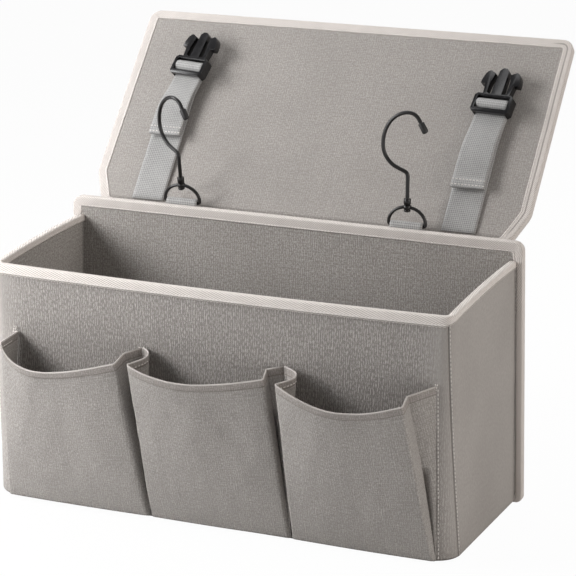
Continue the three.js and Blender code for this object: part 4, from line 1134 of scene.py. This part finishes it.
def pocket(index, name):
    rows = []
    hem = 1 - HEM / POCKET_HEIGHT
    rises = [0.0, 0.008] + [lerp(0.016, hem, i / 34) for i in range(35)]
    rises += [hem + 0.003, lerp(hem, 1, 0.4), lerp(hem, 1, 0.8), 0.994, 1.0]
    for n, rise in enumerate(rises):
        row = []
        line = pocket_row(index, rise)
        for j, p in enumerate(line):
            out = -p.y - HALF_DEPTH - GAP
            soft = smooth((out - 3) / 8)
            is_face = FACE_START <= j < len(line) - FACE_START
            crease = ripple(p.x, index * 90, p.z, 30, 1.0) + ripple(p.x, 7, p.z, 13, 0.3)
            shift = crease * soft * smooth(rise * 5) * (1 - 0.5 * smooth((rise - hem) * 40))
            if rise > hem:
                shift += 0.45 * soft
            aside = 0.0 if is_face else 0.25 * shift
            if n == 0:
                out = CLOTH
                shift = 0.0
            row.append(flared((p.x + aside, -HALF_DEPTH - GAP - max(out + shift, CLOTH), p.z)))
        rows.append(row)
    piece = shell(f"pocket_{name}_cloth", rows, -CLOTH, LINEN)
    wide = len(rows[0])
    mark(piece, "hem", lambda i, p: rises[i % (len(rows) * wide) // wide] * POCKET_HEIGHT)
    mark(piece, "calm", lambda i, p: 0.25)
    # The foot mark places a painted shade along the pocket's foot
    mark(piece, "foot", lambda i, p: smooth((3.4 - p.z) / 1.6))
    return dress(piece, "box", "linen", f"pocket_{name}"), rows


POCKET_ROWS = []
for index, name in enumerate(("left", "centre", "right")):
    cloth, rows = pocket(index, name)
    POCKET_ROWS.append(rows)


# Hinge cloth

def strip(name, path, thickness, width, material, wide_steps, place=None, form=None):
    """A band of cloth: path points are [y, z] in its middle, it is wide along X, and form bends
    it."""
    rings = []
    for i, (y, z) in enumerate(path):
        before = path[max(i - 1, 0)]
        after = path[min(i + 1, len(path) - 1)]
        along = Vector((after[0] - before[0], after[1] - before[1])).normalized()
        half = (thickness(i) if callable(thickness) else thickness) / 2
        ring = []
        for back, steps in ((-1, range(wide_steps + 1)), (1, range(wide_steps, -1, -1))):
            for j in steps:
                off = back * half * (0.65 if j in (0, wide_steps) else 1)
                x = width * (j / wide_steps - 0.5)
                ring.append(Vector((x, y + along.y * off, z - along.x * off)))
        rings.append([form(p) for p in ring] if form else ring)
    return loft(name, rings, material, place=place)


BAND_Y = BACK_REAR + GAP + CLOTH / 2
BAND_Z = HINGE_Z - GAP - CLOTH / 2
up_flap = [FLAP_PLACE @ Vector((0, 0.35, s)) for s in (2, 5, 9, 14)]
band_path = ([(BAND_Y, BAND_Z - BAND_SEWN + 3 * i) for i in range(9)]
             + arc(BAND_Y + 3, BAND_Z - 3, 3, 180, 90, 6)
             + [(BAND_Y + 6, BAND_Z - 0.1), (BAND_Y + 10, BAND_Z - 0.2), (HINGE_Y - 0.8, BAND_Z)]
             + [(p.y, p.z) for p in up_flap])
hinge_cloth = strip("hinge_cloth", band_path, BAND_CLOTH, BAND_WIDTH, LINEN, 60)
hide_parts("hinge_strip")
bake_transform(hinge_cloth)


# Straps

def strap_path(bar):
    """[forwards, along] points of the webbing, threaded round the buckle's bar."""
    tail_end = bar - (STRAP_LENGTH - bar - pi * BAR_SEAT)
    over = arc(BAR_SEAT, bar, BAR_SEAT, 180, -45, 16)
    behind = [(0.0, lerp(0, bar - 6, i / 24)) for i in range(25)] + [(0.0, bar - 3)]
    start = bar - 9.6
    front = [(3.9, bar - 4.1), (2.3, bar - 5.3), (FRONT_LIFT, bar - 6.8), (FRONT_LIFT, start)]
    tail = [(lerp(FRONT_LIFT, TAIL_LIFT, smooth(i / 20 * 1.15)),
             lerp(start, tail_end + 8.6, i / 20)) for i in range(1, 21)]
    hem = [(TAIL_LIFT, tail_end + up) for up in (8, 7.4, 4, 0.5, 0)]
    return behind + over + front + tail + hem, tail_end


def strap_form(bar, bend, twist):
    """A function that gives a straight strap its twist and its sideways bend below the buckle."""
    start = bar - BEND_START

    def form(p):
        share = min(max((p.z - start) / BEND_LENGTH, 0.0), 1.0)
        beyond = max(p.z - start - BEND_LENGTH, 0.0)
        aside = BEND_LENGTH * share ** 2 / 2 * bend + beyond * sin(bend)
        along = p.z - beyond + beyond * cos(bend)
        turn = twist * share
        x = p.x * cos(turn) - p.y * sin(turn)
        y = p.x * sin(turn) + p.y * cos(turn)
        angle = bend * share
        return Vector((aside + x * cos(angle), y, along - x * sin(angle)))

    return form


for side_name, side in SIDES:
    bar, lean, bend, twist = STRAP_FORMS[side_name]
    form = strap_form(bar, radians(bend), radians(twist))
    path, tail_end = strap_path(bar)
    count = len(path)

    def strap_thickness(i, count=count):
        if i < count - 4:
            return WEBBING
        return STRAP_HEM if i < count - 1 else STRAP_END

    strap_place = (FLAP_PLACE @ Matrix.Translation(
        (side * STRAP_OFFSET, FLAP_FRONT - PROUD - GAP - WEBBING / 2, STRAP_ROOT))
        @ Matrix.Rotation(radians(lean), 4, "X"))
    webbing_strip = strip(f"webbing_{side_name}", [(-f, a) for f, a in path], strap_thickness,
                          STRAP_WIDTH, WEBBING_GREY, WEBBING_STEPS, strap_place, form)
    dress(webbing_strip, f"strap_{side_name}", "webbing", f"strap_{side_name}")
    hem_y = -(TAIL_LIFT + STRAP_HEM / 2 + HAIR)
    hem_lines = [[form(Vector((lerp(-SEWN_HALF, SEWN_HALF, i / 8), hem_y, tail_end + up)))
                  for i in range(9)] for up in SEWN_UP]
    stitch(f"strap_stitches_{side_name}", hem_lines, f"strap_{side_name}", "webbing", THREAD,
           STRAP_STITCHES, strap_place)


# Moulded pieces: the frame's own shapes with eased edges

def eased(node, name, width, body):
    """A copy of a plastic CAD node, joined up, with its edges rounded."""
    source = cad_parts[node]
    mesh = source.data.copy()
    mesh.name = name
    work = bmesh.new()
    work.from_mesh(mesh)
    bmesh.ops.remove_doubles(work, verts=work.verts, dist=0.00002)
    bmesh.ops.dissolve_limit(work, angle_limit=radians(2), verts=work.verts, edges=work.edges)
    work.to_mesh(mesh)
    work.free()
    if not mesh.uv_layers:
        mesh.uv_layers.new(name="cloth")
    mesh.materials.clear()
    mesh.materials.append(PLASTIC)
    mesh.shade_smooth()
    piece = add_object(name, mesh)
    bevel = piece.modifiers.new("eased", "BEVEL")
    bevel.width = width * MM
    bevel.segments = 3
    bevel.limit_method = "ANGLE"
    bevel.angle_limit = radians(28)
    bevel.harden_normals = True
    return dress(piece, body, "plastic", node)


for side_name, _ in SIDES:
    eased(f"male_buckle_{side_name}", f"prong_half_{side_name}", BUCKLE_EDGE,
          f"buckle_{side_name}")
    eased(f"socket_{side_name}", f"socket_half_{side_name}", SOCKET_EDGE, f"socket_{side_name}")


# D-rings, hooks and their tabs

def ring_line():
    """The D-ring's centre line, as [across, up] from its bar."""
    half = RING_HALF - RING_CORNER
    flat = [(lerp(-half, half, i / 12), 0.0) for i in range(13)]
    right = arc(half, RING_CORNER, RING_CORNER, -90, 0, 5)[1:]
    bow = arc(0, RING_CORNER, RING_HALF, 0, 180, 40, RING_BOW)[1:]
    left = arc(-half, RING_CORNER, RING_CORNER, 180, 270, 5)[1:-1]
    return flat + right + bow + left


def hook_line():
    """The hook's centre line, as [across, up] from the ring's bar."""
    turn = radians(NECK_TURN)
    neck = Vector((-NECK * (1 - cos(turn)), SHANK + NECK * sin(turn)))
    cheek = neck + NECK_RUN * Vector((-sin(turn), cos(turn)))
    centre = cheek + CHEEK * Vector((cos(turn), sin(turn)))
    middle = centre.x - CHEEK + CROWN_HALF
    points = [(0.0, up) for up in (HOOK_FOOT, 15.0, 25.0, SHANK)]
    points += arc(-NECK, SHANK, NECK, 0, NECK_TURN, 8)[1:]
    points += [tuple(neck.lerp(cheek, 0.5)), tuple(cheek)]
    points += arc(centre.x, centre.y, CHEEK, 180 + NECK_TURN, 180, 14)[1:]
    points += arc(middle, centre.y, CROWN_HALF, 180, 90, 18, CROWN_RISE)[1:]
    points += arc(middle, centre.y + CROWN_RISE - BROW, BROW, 90, 90 - BROW_TURN, 10)[1:]
    aim = Vector((cos(radians(BROW_TURN)), -sin(radians(BROW_TURN))))
    end = Vector(points[-1])
    return points + [tuple(end + aim * step) for step in (1.5, 5.0, TIP_RUN)]


def turned(name, profile, material, sides, place, start=Vector(), along=Vector((0, 0, 1))):
    """A round piece along an axis. profile gives [distance, radius] pairs."""
    path = [start + along * step for step, _ in profile]
    return tube(name, path, [radius for _, radius in profile], material, sides, False, place)


def tab(name, path, x, node):
    """A loop of webbing sewn on the panel's rear."""
    place = Matrix.Translation((x, 0, 0))
    dress(strip(name, path, WEBBING, TAB_WIDTH, WEBBING_GREY, WEBBING_STEPS, place),
          "box", "webbing", node)


TAB_Y = BACK_REAR + PROUD + GAP + WEBBING / 2
ring_tab_path = ([(TAB_Y, RING_Z - RING_SEWN + 1.5 * i) for i in range(6)]
                 + arc(RING_Y, RING_Z, RING_SEAT, 180, 0, 12)
                 + [(TAB_Y + 2.6, RING_Z - 2.4), (TAB_Y + 1.75, RING_Z - 4.3),
                    (TAB_Y + 1.7, RING_Z - 6.4), (TAB_Y + 1.7, RING_Z - RING_SEWN)])

for side_name, x in RING_PLACES.items():
    ring_place = (Matrix.Translation((x, RING_Y, RING_Z))
                  @ Matrix.Rotation(RING_LEANS[side_name], 4, "X"))
    hook_place = ring_place @ Matrix.Rotation(HOOK_TURNS[side_name], 4, "Z")
    tab(f"ring_webbing_{side_name}", ring_tab_path, x, f"ring_tab_{side_name}")
    bow = [(u, 0, w) for u, w in ring_line()]
    line = [(u, 0, w) for u, w in hook_line()]
    ring_body = f"ring_{side_name}"
    hook_body = f"hook_{side_name}"
    wire = tube(f"ring_wire_{side_name}", bow, [RING_WIRE] * len(bow), STEEL, 18, True, ring_place)
    dress(wire, ring_body, "steel", f"d_ring_{side_name}")
    dress(turned(f"ring_boss_{side_name}", BOSS, STEEL, 28, ring_place), ring_body, "steel")
    radii = [HOOK_WIRE] * len(line)
    wire = tube(f"hook_wire_{side_name}", line, radii, STEEL, 20, False, hook_place)
    dress(wire, hook_body, "steel", f"hook_{side_name}")
    dress(turned(f"hook_rivet_{side_name}", RIVET, STEEL, 24, hook_place), hook_body, "steel")
    dress(turned(f"hook_sleeve_{side_name}", SLEEVE, STEEL, 24, hook_place),
          hook_body, "steel", f"hook_collar_{side_name}")
    end = Vector(line[-1])
    aim = (end - Vector(line[-2])).normalized()
    dress(turned(f"hook_tip_{side_name}", CAP, RUBBER, 20, hook_place, end, aim),
          hook_body, "cap", f"hook_cap_{side_name}")

SOCKET_Y = BACK_REAR + SOCKET_STANDOFF
socket_face = BACK_REAR + GAP + WEBBING / 2
sewn = [lerp(SOCKET_TOP, SOCKET_TOP - SOCKET_SEWN, i / 4) for i in range(5)]
socket_tab_path = ([(socket_face, z) for z in sewn] + [(socket_face + 0.6, SOCKET_Z + 12)]
                   + arc(SOCKET_Y, SOCKET_Z, BAR_SEAT, 180, 360, 14)
                   + [(socket_face + 3.4, SOCKET_Z + 12)]
                   + [(socket_face + 1.7, z) for z in reversed(sewn)])
for side_name, side in SIDES:
    tab(f"socket_webbing_{side_name}", socket_tab_path, side * STRAP_OFFSET,
        f"socket_tab_{side_name}")


# Rows of stitches on the box and the flap

def rim_rows():
    outer = []
    inner = []
    for place, ox, oy, top in WALL_PATH:
        z = top + PROUD - lerp(FRONT_TAPE_WIDTH, SIDE_TAPE_WIDTH, ox * ox) + STITCH_INSET
        outer.append(wall_point(place, ox, oy, PROUD + HAIR, z))
        inner.append(wall_point(place, ox, oy, -WALL - PROUD - HAIR, z))
    return [outer, inner]


def seam_rows():
    """The upright seam at each front corner, and the last pocket's right edge."""
    rows = []
    for side in (-1, 1):
        line = [seam_spot(z, *SEAM_ASIDE)[0] for z in range(3, 164, 4)]
        rows.append([Vector((side * p.x, p.y, p.z)) for p in line])
    for aside, lift in EDGE_ROWS:
        rows.append([flared((SEAM_TOPS[-1] + aside, -HALF_DEPTH - lift, z))
                     for z in range(4, 122, 2)])
    return rows


def tack_rows():
    """Short thick stitches across the tops of the pockets' seams."""
    rows = []
    for x, z in TACKS:
        for aside in (-TACK_APART, TACK_APART):
            rows.append([flared((x + aside + TACK_LEAN * up, -HALF_DEPTH - TACK_OUT, z + up))
                         for up in TACK_UP])
    return rows


def hem_rows():
    """A row of stitches along each pocket's hem."""
    rows = []
    for cloth_rows in POCKET_ROWS:
        top = cloth_rows[-1]
        low = cloth_rows[-5]
        rows.append([a.lerp(b, 0.2) + Vector((0, -0.1, 0)) for a, b in zip(low, top)][10:-10])
    return rows


TAPE_ROW = TAPE_EDGE + STITCH_INSET
OFF_TAPE = PROUD + HAIR
back_rows = [BACK.row(TAPE_ROW, BACK_REAR + OFF_TAPE),
             BACK.row(TAPE_ROW, HALF_DEPTH - OFF_TAPE, keep=lambda p: p.z > RIM_TOP)]
stitch("box_tape_stitches", rim_rows() + back_rows, "box", "tape", THREAD, TAPE_STITCHES)
stitch("pocket_hem_stitches", hem_rows(), "box", "linen", GREY_THREAD, HEM_STITCHES)
stitch("seam_stitches", seam_rows(), "box", "linen", GREY_THREAD, SEAM_STITCHES)
stitch("pocket_tacks", tack_rows(), "box", "linen", THREAD, TACK_STITCHES)
flap_rows = [FLAP.row(TAPE_ROW, y, foot_width=FOOT_TAPE)
             for y in (FLAP_FRONT - OFF_TAPE, FLAP_FRONT + PANEL + OFF_TAPE)]
stitch("flap_tape_stitches", flap_rows, "flap", "tape", THREAD, TAPE_STITCHES, FLAP_PLACE)

# The boards stay inside the cloth, and take the lining's finish
for place in ("front", "left", "right", "base", "back", "flap"):
    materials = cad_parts[f"{place}_board"].data.materials
    materials.clear()
    materials.append(INNER_LINEN)


# Stage

def stage():
    bpy.ops.mesh.primitive_plane_add(size=40, location=(0, 0, FLOOR_Z))
    floor = bpy.context.object
    floor.name = "floor"
    recipe = Recipe("pale_floor", 0.9)
    recipe.colour((0.86, 0.86, 0.86, 1.0))
    seen = recipe.node("ShaderNodeLightPath")
    glossy = Field(recipe, seen.socket.node.outputs["Is Glossy Ray"])
    glow = recipe.node("ShaderNodeEmission", values={"Color": (1, 1, 1, 1), "Strength": 1.0})
    share = seen.math("MAXIMUM", seen, glossy) * FLOOR_GLOW
    lit = Field(recipe, recipe.shader.outputs[0])
    mixed = recipe.node("ShaderNodeMixShader", values=(share, lit, glow))
    recipe.feed(recipe.tree.nodes["Material Output"].inputs["Surface"], mixed)
    floor.data.materials.append(recipe.material)
    world = bpy.data.worlds.new("studio")
    bpy.context.scene.world = world
    world.use_nodes = True
    sky = world.node_tree.nodes["Background"]
    sky.inputs["Color"].default_value = (1.0, 1.0, 1.0, 1.0)
    sky.inputs["Strength"].default_value = SKY
    for name, (place, aim, size, power, hue) in LAMPS.items():
        lamp = bpy.data.lights.new(name, "AREA")
        lamp.color = hue
        lamp.size = size * MM
        lamp.energy = power
        holder = add_object(name, lamp)
        holder.location = Vector(place) * MM
        holder.rotation_euler = (Vector(aim) - Vector(place)).to_track_quat("-Z", "Y").to_euler()


stage()
bpy.context.scene.view_settings.view_transform = "Standard"
